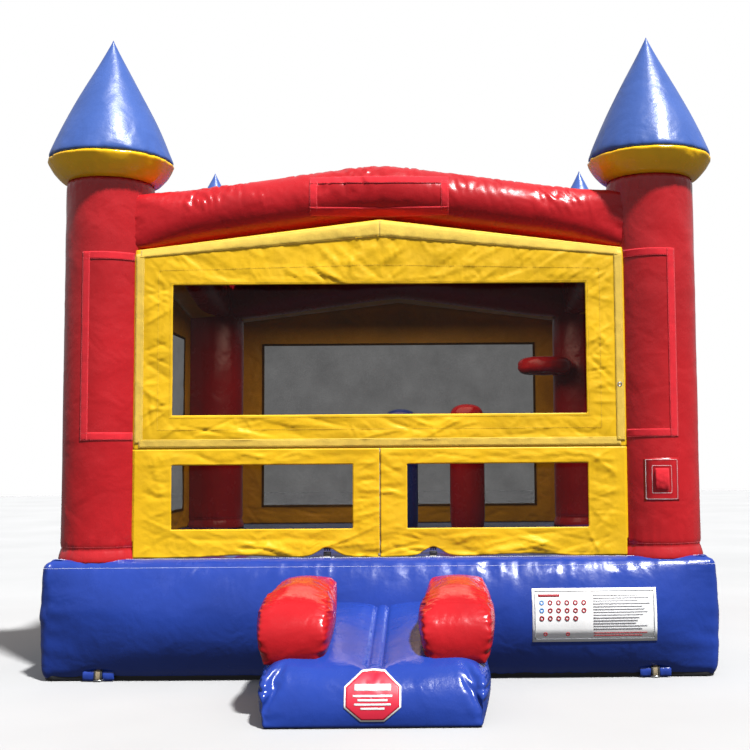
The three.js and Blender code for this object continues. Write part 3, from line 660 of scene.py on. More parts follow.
def make_column(corner, x, y, seed):
    angle = circle(TOWER_STEPS)
    parts = (0.682, 0.86, 14), (0.89, 2.84, 62), (2.87, TOWER_TOP, 14)
    heights = np.concatenate([np.linspace(*part) for part in parts])
    points = tower_point(angle[:, None], heights[None, :], x, y, seed)
    build(f"column_{corner}_vinyl", points, grid_faces(TOWER_STEPS, len(heights), close_u=True), red_vinyl,
          node=f"column_{corner}", thick=0.003, offset=-1.0)
    out = np.stack([np.cos(angle), np.sin(angle), 0 * angle], -1)
    for level, name in ((FOOT_SEAM + 0.012, "foot"), (TOWER_TOP - 0.02, "top")):
        ring = tower_point(angle, np.full(TOWER_STEPS, level), x, y, seed)
        stitches(f"column_{corner}_{name}_seam", ring, out, pink_thread, closed=True)


def make_collar(corner, x, y, seed):
    def relief(a, share, z):
        folds = pleats(a / (2 * math.pi) * CONE_FOLDS, z / 0.3, seed + 4, CONE_FOLDS)
        near_top = np.exp(-np.abs(COLLAR_TOP - z) / 0.045)
        near_bottom = np.exp(-(z - TOWER_TOP) / 0.03)
        return 0.0105 * folds * (near_top + 0.5 * near_bottom)

    r, top = COLLAR_R, COLLAR_TOP
    bowl = smooth_profile([
        (TOWER_R - 0.010, TOWER_TOP - 0.006), (TOWER_R + 0.026, TOWER_TOP + 0.006),
        (TOWER_R + 0.075, TOWER_TOP + 0.055), (r - 0.012, top - 0.034), (r - 0.004, top - 0.012),
        (r - 0.014, top - 0.001), (r - 0.040, top + 0.001),
    ], 26)
    revolved(f"collar_{corner}_vinyl", bowl, x, y, collar_vinyl_painted_fill, relief, f"collar_{corner}")


def make_cone(corner, x, y, seed):
    def relief(a, share, z):
        around = a / (2 * math.pi)
        folds = pleats(around * CONE_FOLDS, z / 0.3, seed + 4, CONE_FOLDS)
        near_foot = np.exp(-np.abs(z - COLLAR_TOP) / 0.060)
        gore = -0.004 * bell(np.sin(2 * a + 0.5), 0.035) * smooth(0, 0.1, 1 - share)
        slow = 0.004 * noise(around * 5, z / 0.35, seed + 6, 5) * smooth(0, 0.3, 1 - share)
        return 0.0125 * folds * near_foot + gore + slow

    high = np.linspace(0, 1, 58) ** 1.15
    radius = COLLAR_R * ((1 - high) + 0.34 * high * (1 - high) ** 2) - 0.016 * np.exp(-high / 0.012)
    spire = np.stack([radius, COLLAR_TOP + 0.001 + (TIP_Z - COLLAR_TOP - 0.003) * high], 1)
    tucked = [(COLLAR_R - 0.060, COLLAR_TOP - 0.004), (COLLAR_R - 0.034, COLLAR_TOP - 0.001)]
    revolved(f"cone_{corner}_vinyl", np.vstack([tucked, spire]), x, y, cone_vinyl, relief,
             f"cone_{corner}")


def make_tower(corner, quarter):
    x, y = turn_points([-TOWER_X, -TOWER_X, 0], quarter)[:2]
    for make in (make_column, make_collar, make_cone):
        make(corner, x, y, 31 + quarter * 5)


# ---- Beams ----

BEAM_STEPS = 64
BEAM_COLUMNS = 260


def beam_point(along, around, seed, lift=0.0):
    """A point of the front beam. along runs from -1 to 1, and around is an angle from straight out."""
    out, up = np.cos(around), np.sin(around)
    square_end = (np.abs(out) ** 8 + np.abs(up) ** 8) ** (-1 / 8)
    half_chord = np.sqrt(TOWER_R ** 2 - np.minimum(BEAM_R * np.abs(out) * square_end, TOWER_R * 0.9) ** 2)
    end_x = TOWER_X - half_chord + 0.012
    x = along * end_x
    gap = (1 - np.abs(along)) * end_x
    centre = BEAM_PEAK_Z - BEAM_SLOPE * (np.sqrt(x ** 2 + 0.09 ** 2) - 0.05)
    power = 2 + 6 * np.exp(-gap / 0.10)
    section = (np.abs(out) ** power + np.abs(up) ** power) ** (-1 / power)
    gather = np.exp(-gap / 0.09)
    side = np.where(x < 0, 7.0, 0.0)
    folds = pleats(around / (2 * math.pi) * 22, gap / 0.25 + side, seed, 22)
    from_foot = (around + math.pi / 2) % (2 * math.pi)
    slanted = pleats((x + 0.06 * from_foot) / 0.060, from_foot * 1.4, seed + 2)
    patches = np.clip(0.55 + 1.3 * noise(x / 0.28, from_foot * 0.7, seed + 3), 0.05, 1)
    upper = smooth(-0.4, 0.4, up)
    radius = BEAM_R * section * (1 - 0.03 * np.exp(-gap / 0.05)) - 0.001
    radius = radius + 0.0085 * folds * gather + 0.0125 * slanted * patches * upper
    radius = radius - 0.004 * bell(x, 0.030) + lift
    y = -TOWER_X - radius * out
    z = centre + radius * up
    return np.stack([x + 0 * z, y, z], -1)


def make_beam(side, quarter):
    t = np.linspace(-1, 1, BEAM_COLUMNS)
    along = np.sign(t) * np.abs(t) ** 0.9
    points = turn_points(beam_point(along[None, :], circle(BEAM_STEPS)[:, None], 61 + quarter * 5), quarter)
    build(f"beam_{side}_vinyl", points, grid_faces(BEAM_STEPS, BEAM_COLUMNS, close_u=True), beam_vinyl,
          node=f"beam_{side}", thick=0.003, offset=-1.0)


# ---- Cloth walls ----

def gable(x):
    return GABLE_PEAK - np.abs(x) / WALL_HALF * (GABLE_PEAK - GABLE_CORNER)


def wall_relief(x, z, seed, windows, pinned):
    """How far out the cloth stands. windows are (x0, x1, z0, z1), and pinned is 0 on sewn edges."""
    # Creases run down towards the middle of the wall, more level near the foot.
    steep = 0.50 * smooth(1.2, 2.3, z) + 0.10
    side = -np.tanh(x / 0.9)
    along, across = x * 0.87 - z * steep * side, x * steep * side + z * 0.87
    long_folds = creases(along / 2.6, across, seed, 0.165)
    crumple = creases(along / 1.5, across, seed + 50, 0.075)
    slow = noise(x / 0.5, z / 0.4, seed + 40)
    hem = np.ones_like(pinned)
    for x0, x1, z0, z1 in windows:
        outside = np.maximum(np.maximum(x0 - x, x - x1), np.maximum(z0 - z, z - z1))
        hem = np.minimum(hem, 0.25 + 0.75 * smooth(0.0, 0.06, outside))
    patch = 0.55 + 0.45 * smooth(-0.3, 0.5, noise(x / 0.45, z / 0.3, seed + 41))
    return pinned * (0.0060 * hem * patch * long_folds + 0.0018 * hem * crumple + 0.008 * slow), pinned * hem


def crease_lines(x, z, seed, span, count):
    """Long single creases, each a sharp crest with one gentle side. span is the x and z they lie between."""
    chance = np.random.RandomState(seed)
    x0, x1, z0, z1 = span
    total = np.zeros(np.broadcast(x, z).shape)
    for _ in range(count):
        middle_x, middle_z = chance.uniform(x0, x1), chance.uniform(z0, z1)
        steep = 0.50 * smooth(1.3, 2.3, middle_z)
        loose = 0.7 if abs(middle_x) > WINDOW_HALF else 0.22
        tilt = math.copysign(steep, middle_x) + chance.normal(0, loose)
        reach, wide = chance.uniform(0.06, 0.26), chance.uniform(0.012, 0.028)
        tall = chance.uniform(0.0025, 0.0070) * chance.choice([-1, 1])
        bend = chance.uniform(-0.5, 0.5)
        dx, dz = x - middle_x, z - middle_z
        along = dx * math.cos(tilt) + dz * math.sin(tilt)
        across = dz * math.cos(tilt) - dx * math.sin(tilt) + bend * along ** 2
        taper = np.clip(1 - (along / reach) ** 2, 0, 1) ** 0.8
        crest = np.exp(np.where(across < 0, np.maximum(across, -1) / (0.35 * wide), -across / wide))
        total = total + tall * taper * crest
    return total


def spaced(low, high, step, marks):
    """Evenly spaced numbers that pass exactly through the marks."""
    stops = sorted({low, high, *[m for m in marks if low < m < high]})
    parts = [np.linspace(a, b, max(2, int(round((b - a) / step)) + 1))[:-1] for a, b in zip(stops, stops[1:])]
    return np.concatenate([*parts, [high]])


def cells_outside(xs, zs, windows):
    """True for the cells of a grid that lie outside every window."""
    cx, cz = (xs[1:] + xs[:-1]) / 2, (zs[1:] + zs[:-1]) / 2
    keep = np.ones((len(cx), len(cz)), bool)
    for x0, x1, z0, z1 in windows:
        keep &= ~(((cx > x0) & (cx < x1))[:, None] & ((cz > z0) & (cz < z1))[None, :])
    return keep


class Wall:
    """A sheet of yellow cloth across the front, with windows. x, z and out() describe its surface."""

    def __init__(self, x0, x1, bottom, top, windows, seed, gabled, scallop=None, step=OTHER_STEP,
                 banded=False):
        marks_x = [m for w in windows for m in w[:2]]
        marks_z = [m for w in windows for m in w[2:]]
        self.windows, self.seed, self.gabled = windows, seed, gabled
        self.bottom, self.top, self.scallop, self.banded = bottom, top, scallop, banded
        self.span = (x0, x1, bottom, top + 0.12 * gabled)
        self.creases = int(115 * (x1 - x0) * (top - bottom))
        self.xs = spaced(x0, x1, step, marks_x + [0.0])
        self.zs = spaced(bottom, top, step, marks_z)

    def place(self, x, z, lift=0.0):
        """The point of the cloth drawn at x, z on its flat cut, where z runs to top at the sides."""
        x, z = np.broadcast_arrays(np.asarray(x, float), np.asarray(z, float))
        sides = WALL_HALF - np.abs(x)
        pinned = 0.12 + 0.88 * smooth(TAPE * 0.7, TAPE * 2, sides)
        if self.banded:
            pinned = pinned * (1 - 0.75 * bell(z - BAND_Z, 0.034))
        height = z
        curl = 0.0
        if self.gabled:
            above = np.clip((z - 2.42) / (self.top - 2.42), 0, 1)
            height = z + above * (gable(x) - self.top)
            to_beam = gable(x) - height
            pinned = pinned * (0.15 + 0.85 * smooth(TAPE * 0.7, TAPE * 2, to_beam))
            curl = 0.012 * (1 - smooth(0.0, 0.05, to_beam))
        if self.banded or self.scallop:
            pinned = pinned * smooth(0.0, 0.05, np.abs(z - DOOR_TOP))
        if self.scallop:
            pinned, height = self.scallop(x, z, pinned, height)
        out, free = wall_relief(x, height, self.seed, self.windows, pinned)
        out = out + free * crease_lines(x, height, self.seed, self.span, self.creases)
        out = np.maximum(out, -0.007) - curl + lift
        return np.stack([x, -WALL_Y + 0.0015 - out, height], -1)

    def make(self, name, quarter=0, body="root"):
        points = turn_points(self.place(self.xs[:, None], self.zs[None, :]), quarter)
        keep = cells_outside(self.xs, self.zs, self.windows)
        return build(name, points, grid_faces(len(self.xs), len(self.zs), keep=keep), yellow_cloth, body,
                     thick=0.0022)

    def flat_area(self):
        whole = (self.xs[-1] - self.xs[0]) * (self.zs[-1] - self.zs[0])
        if self.gabled:
            whole += (GABLE_PEAK - GABLE_CORNER) * WALL_HALF
        return whole - sum((x1 - x0) * (z1 - z0) for x0, x1, z0, z1 in self.windows)


def make_lip(side, quarter, wall):
    """The wall's top edge, turned in and sewn to the underside of the beam."""
    xs = np.linspace(-WALL_HALF, WALL_HALF, 190)
    start = wall.place(xs, np.full_like(xs, wall.top))
    along = np.minimum(np.abs(xs), 1.42) * np.sign(xs) / 1.5
    end = beam_point(along, np.full_like(xs, LIP_ANGLE), 61, 0.002)
    end[:, 0] = xs
    t = np.linspace(0, 1, 8)[None, :, None]
    points = start[:, None] * (1 - t) + end[:, None] * t - (0, 0, 0.012) * np.sin(math.pi * t)
    build(f"panel_{side}_lip", turn_points(points, quarter), grid_faces(len(xs), 8), yellow_cloth,
          thick=0.002)


def make_side_lips(name, quarter, wall, low, sides=(-1, 1)):
    """The upright edges of a wall's cloth, turned in and sewn to the towers."""
    zs = np.linspace(low, wall.top, 60)
    for side in sides:
        edge = wall.place(np.full_like(zs, side * WALL_HALF), zs)
        centre = np.array([side * TOWER_X, -TOWER_X])
        on_tower = centre + unit(edge[:, :2] - centre) * (TOWER_R - 0.006)
        sewn = np.column_stack([on_tower, edge[:, 2]])
        share = np.linspace(0, 1, 5)[None, :, None]
        points = turn_points(edge[:, None] * (1 - share) + sewn[:, None] * share, quarter)
        build(f"{name}_side_lip_{side + 1}", points, grid_faces(60, 5), yellow_cloth,
              thick=0.002)


def strip_grid(ends, width, count):
    """The x and z of a grid of points, count by five, along a strip from one x, z to another."""
    (x0, z0), (x1, z1) = ends
    length = math.dist(*ends)
    t = np.linspace(0, 1, count)[:, None]
    side = (np.linspace(-0.5, 0.5, 5) * width)[None, :]
    return x0 + (x1 - x0) * t - (z1 - z0) / length * side, z0 + (z1 - z0) * t + (x1 - x0) / length * side


def tape_strip(name, wall, ends, node):
    """Loop tape sewn to a front wall from one flat x, z to another, with thread along both edges."""
    count = max(4, int(math.dist(*ends) / 0.0145))
    points = wall.place(*strip_grid(ends, TAPE, count), 0.0036)
    strip = build(name, points, grid_faces(count, 5), yellow_tape, node=node,
                  thick=0.0014)
    strip.visible_glossy = False
    strip.visible_diffuse = False
    for edge, column in (("a", 0), ("b", 4)):
        row = points[:, column] * 0.86 + points[:, 2] * 0.14
        stitches(f"{name}_thread_{edge}", row, np.tile([0.0, -1.0, 0.0], (count, 1)), gold_thread,
                 lift=0.0012)


def make_net(name, wall, window, quarter=0, body="root", node=None):
    """Net sewn behind a window, hanging slightly slack."""
    x0, x1, z0, z1 = window
    x, z = grid(np.linspace(x0 - NET_LAP, x1 + NET_LAP, 60), np.linspace(z0 - NET_LAP, z1 + NET_LAP, 40))
    free = smooth(0, 0.1, np.minimum(x - x0, x1 - x)) * smooth(0, 0.1, z1 - z)
    slack = 0.004 * creases(x, z, wall.seed + 3, 0.5) * free
    points = turn_points(np.stack([x, -WALL_Y + 0.0125 + slack, z], -1), quarter)
    return build(name, points, grid_faces(60, 40), black_net, body, node=node)


WHOLE_WINDOW = (-WINDOW_HALF, WINDOW_HALF, WINDOW_LOW, WINDOW_HIGH)
UPPER_WINDOW = (-WINDOW_HALF, WINDOW_HALF, UPPER_WINDOW_LOW, WINDOW_HIGH)


def make_wall(side, quarter):
    front = side == "front"
    window = UPPER_WINDOW if front else WHOLE_WINDOW
    bottom = DOOR_TOP if front else WALL_BOTTOM
    wall = Wall(-WALL_HALF, WALL_HALF, bottom, GABLE_CORNER, [window], 90 + quarter, gabled=True,
                step=FRONT_STEP if front else OTHER_STEP, banded=front)
    cloth = wall.make(f"panel_{side}_cloth", quarter)
    cloth.visible_glossy = False
    declare(f"panel_{side}")
    wall.flat_area()
    net = make_net(f"net_{side}_mesh", wall, window, quarter, node=f"net_{side}")
    make_lip(side, quarter, wall)
    make_side_lips(f"panel_{side}", quarter, wall, bottom)
    return wall


def make_panel_tape(wall):
    edge = WALL_HALF - TAPE / 2 - 0.002
    high = GABLE_CORNER - TAPE / 2 - 0.002
    runs = {
        "left": ((-edge, BAND_Z), (-edge, high)),
        "right": ((edge, high), (edge, BAND_Z)),
        "band": ((-edge, BAND_Z), (edge, BAND_Z)),
        "gable_left": ((-edge, high), (0.0, high)),
        "gable_right": ((0.0, high), (edge, high)),
    }
    for name, ends in runs.items():
        tape_strip(f"panel_tape_{name}", wall, ends, "panel_loop_frame")


# ---- Entrance ----

BUCKLE_X = 0.320


def door_scallop(x, z, pinned, height):
    """The free bottom hem of the entrance cloth lifts at the buckles and between them."""
    near = 1 - smooth(0.0, 0.13, z - WALL_BOTTOM)
    lifted = 0.056 * bell(np.abs(x) - BUCKLE_X, 0.075) + 0.014 * bell(np.abs(x) - 0.85, 0.22)
    dipped = -0.004 * bell(np.abs(x) - 0.02, 0.05)
    outer = smooth(0.0, 0.25, WALL_HALF - np.abs(x))
    free = 1 + 0.8 * near * outer
    return pinned * free, height + (lifted + dipped) * near


def make_door(side):
    sign = SIGNS[side]
    x0, x1 = sorted((sign * SLIT, sign * WALL_HALF))
    window = (*sorted((sign * DOOR_WINDOW_INNER, sign * WINDOW_HALF)), WINDOW_LOW, DOOR_WINDOW_HIGH)
    wall = Wall(x0, x1, WALL_BOTTOM + 0.002, DOOR_TOP, [window], 100 + sign, gabled=False,
                scallop=door_scallop, step=FRONT_STEP)
    cloth = wall.make(f"door_{side}_cloth", body=None)
    net = make_net(f"door_{side}_mesh", wall, window, body=None)
    #     The cloth folds about the line from the top of the slit to the panel's lower outer corner; here the
    #     cloth and net stay flat, and the CAD parts on both sides of that fold are hidden.
    for piece, nodes in (
        (cloth, (f"door_flap_{side}", f"door_side_{side}")),
        (net, (f"flap_net_{side}", f"side_net_{side}")),
    ):
        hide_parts(*nodes)
        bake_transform(piece)
    wall.flat_area()
    make_side_lips(f"door_{side}", 0, wall, WALL_BOTTOM + 0.10, [sign])


def block(name, spans, material, body=None, bevel=0.002):
    """A bevelled block with its corners and edges rounded off. spans are its x, y and z ends."""
    points = [(x, y, z) for x in spans[0] for y in spans[1] for z in spans[2]]
    faces = [(0, 1, 3, 2), (4, 6, 7, 5), (0, 4, 5, 1), (2, 3, 7, 6), (0, 2, 6, 4), (1, 5, 7, 3)]
    piece = build(name, points, faces, material, body, smooth_faces=False)
    rounding = piece.modifiers.new("rounding", "BEVEL")
    rounding.width = bevel
    rounding.segments = 3
    apply_modifiers(piece)
    piece.data.polygons.foreach_set("use_smooth", [True] * len(piece.data.polygons))
    return piece


def buckle_half(name, x, y0, blocks, body):
    """Half of a buckle, from blocks given as x and y from its middle, z, and bevel."""
    pieces = [
        block("part", [(x + a, x + b), (y0 + c, y0 + d), (low, high)], buckle_plastic, bevel=bevel)
        for a, b, c, d, low, high, bevel in blocks
    ]
    with bpy.context.temp_override(active_object=pieces[0], selected_editable_objects=pieces):
        bpy.ops.object.join()
    pieces[0].name = f"{name}_plastic"
    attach(pieces[0], body)
    declare(name)


def make_buckle(side):
    x, y0 = SIGNS[side] * BUCKLE_X, -WALL_Y + 0.014
    flap = f"door_flap_{side}_body"
    prongs = [
        (k * 0.014 - 0.004, k * 0.014 + 0.004, 0.002, 0.007, 0.7405, 0.754, 0.0015) for k in (-1, 0, 1)
    ]
    buckle_half(f"buckle_tongue_{side}", x, y0, [
        (-0.023, 0.023, 0, 0.009, 0.752, 0.776, 0.003),
        (-0.021, 0.021, -0.001, 0.010, 0.770, 0.777, 0.002), *prongs,
    ], flap)
    block(f"buckle_hem_strap_{side}", [(x - 0.018, x + 0.018), (y0 - 0.0015, y0 + 0.0005), (0.765, 0.83)],
          strap_black, flap, 0.0006)
    buckle_half(f"buckle_socket_{side}", x, y0, [
        (-0.023, 0.023, -0.001, 0.011, 0.708, 0.7365, 0.004),
        (-0.015, 0.015, -0.002, 0.012, 0.712, 0.730, 0.003),
    ], "root")
    block(f"buckle_base_strap_{side}", [(x - 0.019, x + 0.019), (y0 - 0.020, y0 + 0.012), (0.7005, 0.7095)],
          strap_grey, "root", 0.001)
    patch = rectangle((x - 0.040, x + 0.040, y0 - 0.026, y0 + 0.02))
    path = np.vstack([np.linspace(a, b, 8)[:-1] for a, b in zip(patch, patch[1:])])
    path = np.column_stack([path, np.full(len(path), FLOOR_Z + 0.0045)])
    up = np.tile([0, 0, 1.0], (len(path), 1))
    stitches(f"buckle_patch_thread_{side}", path, up, white_thread, closed=True)


# ---- Pressing one piece onto another ----

def tree_of(name):
    mesh = bpy.data.objects[name].data
    return BVHTree.FromPolygons([v.co for v in mesh.vertices], [p.vertices for p in mesh.polygons])


def press(points, direction, tree, lift):
    """Moves points along a direction onto a piece, a little off it. Gives points and normals."""
    shift = Vector((0, MID_Y, 0))
    direction = Vector(direction).normalized()
    shape = np.shape(points)
    placed, facing = [], []
    for point in np.reshape(points, (-1, 3)):
        start = Vector(point) + shift
        hit, normal, _, _ = tree.ray_cast(start, direction)
        if hit is None:
            hit, normal, _, _ = tree.find_nearest(start)
        if normal.dot(direction) > 0:
            normal = -normal
        placed.append(hit + normal * lift - shift)
        facing.append(normal)
    return np.array(placed).reshape(shape), np.array(facing).reshape(shape)


def pressed_strip(name, ends, width, tree, material, thread=None, lift=0.0016, start_y=-2.6, node=None):
    """A strip of cloth or print on the front of a piece between two x, z points, with thread on its edges."""
    count = max(3, int(math.dist(*ends) / 0.014) + 1)
    x, z = strip_grid(ends, width, count)
    points, facing = press(np.stack([x, np.full_like(x, start_y), z], -1), (0, 1, 0), tree, lift)
    build(name, points, grid_faces(count, 5), material, node=node, thick=0.0012, offset=1.0)
    if thread:
        for edge, column, beside in (("a", 0, 1), ("b", 4, 3)):
            row = points[:, column] * 0.6 + points[:, beside] * 0.4
            stitches(f"{name}_thread_{edge}", row, facing[:, column], thread, lift=0.0016)


# ---- Air-filled shapes ----

AIR_FRAMES = 20
AIR_PRESSURE = 4.0


def sewn_pad(name, outline, x0, x1, spacing, rings, material, narrow):
    """A pad cut from flat panels: a strip round an outline in Y and Z, and a panel at each end.

    narrow(y, z) says how wide it is there.
    Gives the pad, the run round the outline and the distance to a seam.
    """
    closed = np.vstack([outline, outline[:1]])
    run = running(closed)
    around = np.linspace(0, run[-1], int(run[-1] / spacing), endpoint=False)
    ring = np.stack([np.interp(around, run, closed[:, k]) for k in range(2)], 1)
    across = np.linspace(x0, x1, int((x1 - x0) / spacing) + 1)
    inner = 1 - np.linspace(0, 1, rings + 1)[1:] ** 1.2 * 0.985
    share = np.concatenate([inner[::-1], np.ones(len(across)), inner])
    x = np.concatenate([np.full(rings, x0), across, np.full(rings, x1)])
    flat = ring.mean(0) + (ring[:, None, :] - ring.mean(0)) * share[None, :, None]
    middle = (x0 + x1) / 2
    wide = middle + (x[None, :] - middle) * narrow(flat[..., 0], flat[..., 1])
    points = np.concatenate([wide[..., None], flat], 2)
    piece = build(name, points, grid_faces(len(ring), len(x), close_u=True), material)
    edge = np.concatenate([(1 - inner[::-1]) * 0.2, np.minimum(across - x0, x1 - across), (1 - inner) * 0.2])
    return piece, around[:, None], edge[None, :]


def inflate(piece, held, cap, around, from_seam, pitch, depth, seed):
    """Blows a sewn pad up as cloth under air pressure and keeps the shape it takes.

    held says which points stay where they are, and cap is about the most that a point moves. The puckers that
    the thread draws in beside the seams are added after it, pitch apart and about depth deep.
    """
    start = np.array([vertex.co for vertex in piece.data.vertices])
    still = held(start[:, 0], start[:, 1] - MID_Y, start[:, 2])
    piece.vertex_groups.new(name="held").add(np.nonzero(still)[0].tolist(), 1.0, "REPLACE")
    air = piece.modifiers.new("air", "CLOTH")
    air.settings.quality = 6
    air.settings.bending_stiffness = 0.05
    air.settings.vertex_group_mass = "held"
    air.settings.use_pressure = True
    air.settings.uniform_pressure_force = AIR_PRESSURE
    air.settings.effector_weights.gravity = 0
    air.collision_settings.use_collision = False
    air.point_cache.frame_end = AIR_FRAMES
    for moment in range(1, AIR_FRAMES + 1):
        bpy.context.scene.frame_set(moment)
    blown = piece.evaluated_get(bpy.context.evaluated_depsgraph_get())
    moved = np.array([vertex.co for vertex in blown.data.vertices]) - start
    piece.modifiers.clear()
    piece.vertex_groups.clear()
    bpy.context.scene.frame_set(1)
    distance = np.linalg.norm(moved, axis=1, keepdims=True) + 1e-9
    settled = start + moved * cap * np.tanh(distance / cap) / distance
    piece.data.vertices.foreach_set("co", settled.ravel())
    points = np.array([vertex.co for vertex in piece.data.vertices])
    free = ~held(points[:, 0], points[:, 1] - MID_Y, points[:, 2] - 0.012)
    grid = points.reshape(around.shape[0], from_seam.shape[1], 3)
    folds = pleats(around / pitch, from_seam / 0.3, seed) - 0.2
    reach = 0.035 + 0.030 * noise(around / 0.2, 0.5 + 0 * from_seam, seed + 3)
    drawn = depth * folds * np.exp(-from_seam / reach) * free.reshape(grid.shape[:2])
    piece.data.vertices.foreach_set("co", (grid + normals_of(grid, close_u=True) * drawn[..., None]).ravel())
    finer = piece.modifiers.new("finer", "SUBSURF")
    finer.levels = 1
    apply_modifiers(piece)


STEP_CREST_Y = STEP_FRONT + 0.135
STEP_CREST_Z = 0.248


def step_top(y):
    share = (STEP_BACK - y) / (STEP_BACK - STEP_CREST_Y)
    return STEP_BACK_Z + (STEP_CREST_Z - STEP_BACK_Z) * share


STEP_SEAM = 0.034


def make_step():
    back = STEP_BACK + 0.03
    low = GROUND_Z + 0.002
    front = STEP_FRONT + 0.045
    crest = STEP_CREST_Y + 0.035
    outline = np.array([
        (front + 0.005, low), (back, low), (back, STEP_BACK_Z - 0.012), (crest, STEP_CREST_Z - 0.002),
        (crest - 0.045, STEP_CREST_Z - 0.018), (crest - 0.078, STEP_CREST_Z - 0.055), (front, 0.13),
        (front - 0.004, 0.06),
    ])

    def narrow(y, z):
        return 0.935 + 0.065 * smooth(0.0, 0.15, z) ** 0.7

    x0, x1 = step_low.x + 0.022, step_high.x - 0.022
    step, around, edge = sewn_pad("step_cushion_vinyl", outline, x0, x1, 0.0165, 15, step_vinyl, narrow)

    def held(x, y, z):
        channel = (np.abs(x - STEP_X) < STEP_SEAM + 0.006) & (y > crest + 0.09) & (z > 0.15)
        return (z < low + 0.004) | (y > back - 0.02) | channel

    inflate(step, held, 0.060, around, edge, 0.060, 0.018, 201)
    for vertex in step.data.vertices:
        off = abs(vertex.co.x - STEP_X)
        if vertex.co.z > 0.15:
            dent = 0.010 * math.exp(-((off - STEP_SEAM) / 0.008) ** 2) - 0.004 * math.exp(-(off / 0.02) ** 2)
            vertex.co.z -= dent * smooth(crest + 0.03, crest + 0.10, vertex.co.y - MID_Y)
    declare("step_cushion")
    tree = tree_of(step.name)
    for side in (-1, 1):
        yy = np.linspace(crest + 0.06, STEP_BACK - 0.10, 70)
        line = np.stack([np.full_like(yy, STEP_X + side * STEP_SEAM), yy, np.full_like(yy, 1.0)], 1)
        path, facing = press(line, (0, 0, -1), tree, 0.0)
        stitches(f"step_channel_seam_{side + 1}", path, facing, navy_thread)
    return tree


def make_bolster(side):
    low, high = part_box(f"step_bolster_{side}")
    front, back, top = low.y - MID_Y + 0.030, high.y - MID_Y, high.z - 0.036
    middle = (low.x + high.x) / 2
    half = (high.x - low.x) / 2 - 0.030
    outline = np.array([
        (front + 0.030, step_top(front + 0.03) - 0.008), (back, step_top(back) - 0.008), (back, top - 0.015),
        (-2.45, top + 0.016), (-2.75, top + 0.008), (front + 0.14, top - 0.034), (front + 0.06, top - 0.082),
        (front + 0.012, top - 0.150), (front, top - 0.21),
    ])

    def narrow(y, z):
        return (0.85 + 0.15 * smooth(0.0, 0.16, z - step_top(y)) ** 0.7) * (1 - 0.10 * smooth(-3.0, -2.2, y))

    x0, x1 = middle - half, middle + half
    bolster, around, edge = sewn_pad(f"step_bolster_{side}_vinyl", outline, x0, x1, 0.0135, 12, bolster_vinyl,
                                     narrow)

    def held(x, y, z):
        return (z < step_top(y) - 0.003) | (y > back - 0.02)

    inflate(bolster, held, 0.050, around, edge, 0.045, 0.014, 230 if side == "left" else 237)
    for vertex in bolster.data.vertices:
        vertex.co.x += SIGNS[side] * 0.018 * smooth(-3.0, -2.2, vertex.co.y - MID_Y)
    declare(f"step_bolster_{side}")


# ---- Signs ----

def octagon_points(half, centre_x, centre_z, rings, steps=64):
    angle = circle(steps)
    to_flat = (angle + math.pi / 8) % (math.pi / 4) - math.pi / 8
    reach = half / np.cos(to_flat)
    share = np.linspace(0.02, 1, rings)
    x = centre_x + share[None, :] * (reach * np.cos(angle))[:, None]
    z = centre_z + share[None, :] * (reach * np.sin(angle))[:, None]
    return x, z


SIGN_HALF = 0.138
SIGN_TALL = 0.80  # the sign's apparent height over its width, because the face under it curves away
SIGN_MIDDLE_Z = 0.146


def make_octagon(step_tree):
    for name, size, material, lift in (
        ("border", SIGN_HALF, sign_white, 0.0022), ("face", SIGN_HALF * 0.935, sign_red, 0.0034),
    ):
        x, z = octagon_points(size, STEP_X, 0, 14)
        start = np.stack([x, np.full_like(x, -4.0), SIGN_MIDDLE_Z + z * SIGN_TALL], -1)
        points, _ = press(start, (0, 1, 0), step_tree, lift)
        build(f"octagon_sign_{name}", points, grid_faces(64, 14, close_u=True, flip=True), material,
              node="octagon_sign", thick=0.0012, offset=1.0)
    bars = ((0.048, 0.088, 0.034), (0.006, 0.095, 0.011), (-0.016, 0.072, 0.011), (-0.038, 0.088, 0.011),
            (-0.060, 0.058, 0.011))
    for k, (rise, reach, tall) in enumerate(bars):
        z = SIGN_MIDDLE_Z + rise * SIGN_TALL * 1.05
        pressed_strip(f"octagon_sign_bar_{k}", ((STEP_X - reach, z), (STEP_X + reach, z)), tall * SIGN_TALL,
                      step_tree, sign_white, lift=0.0048, start_y=-4.0)


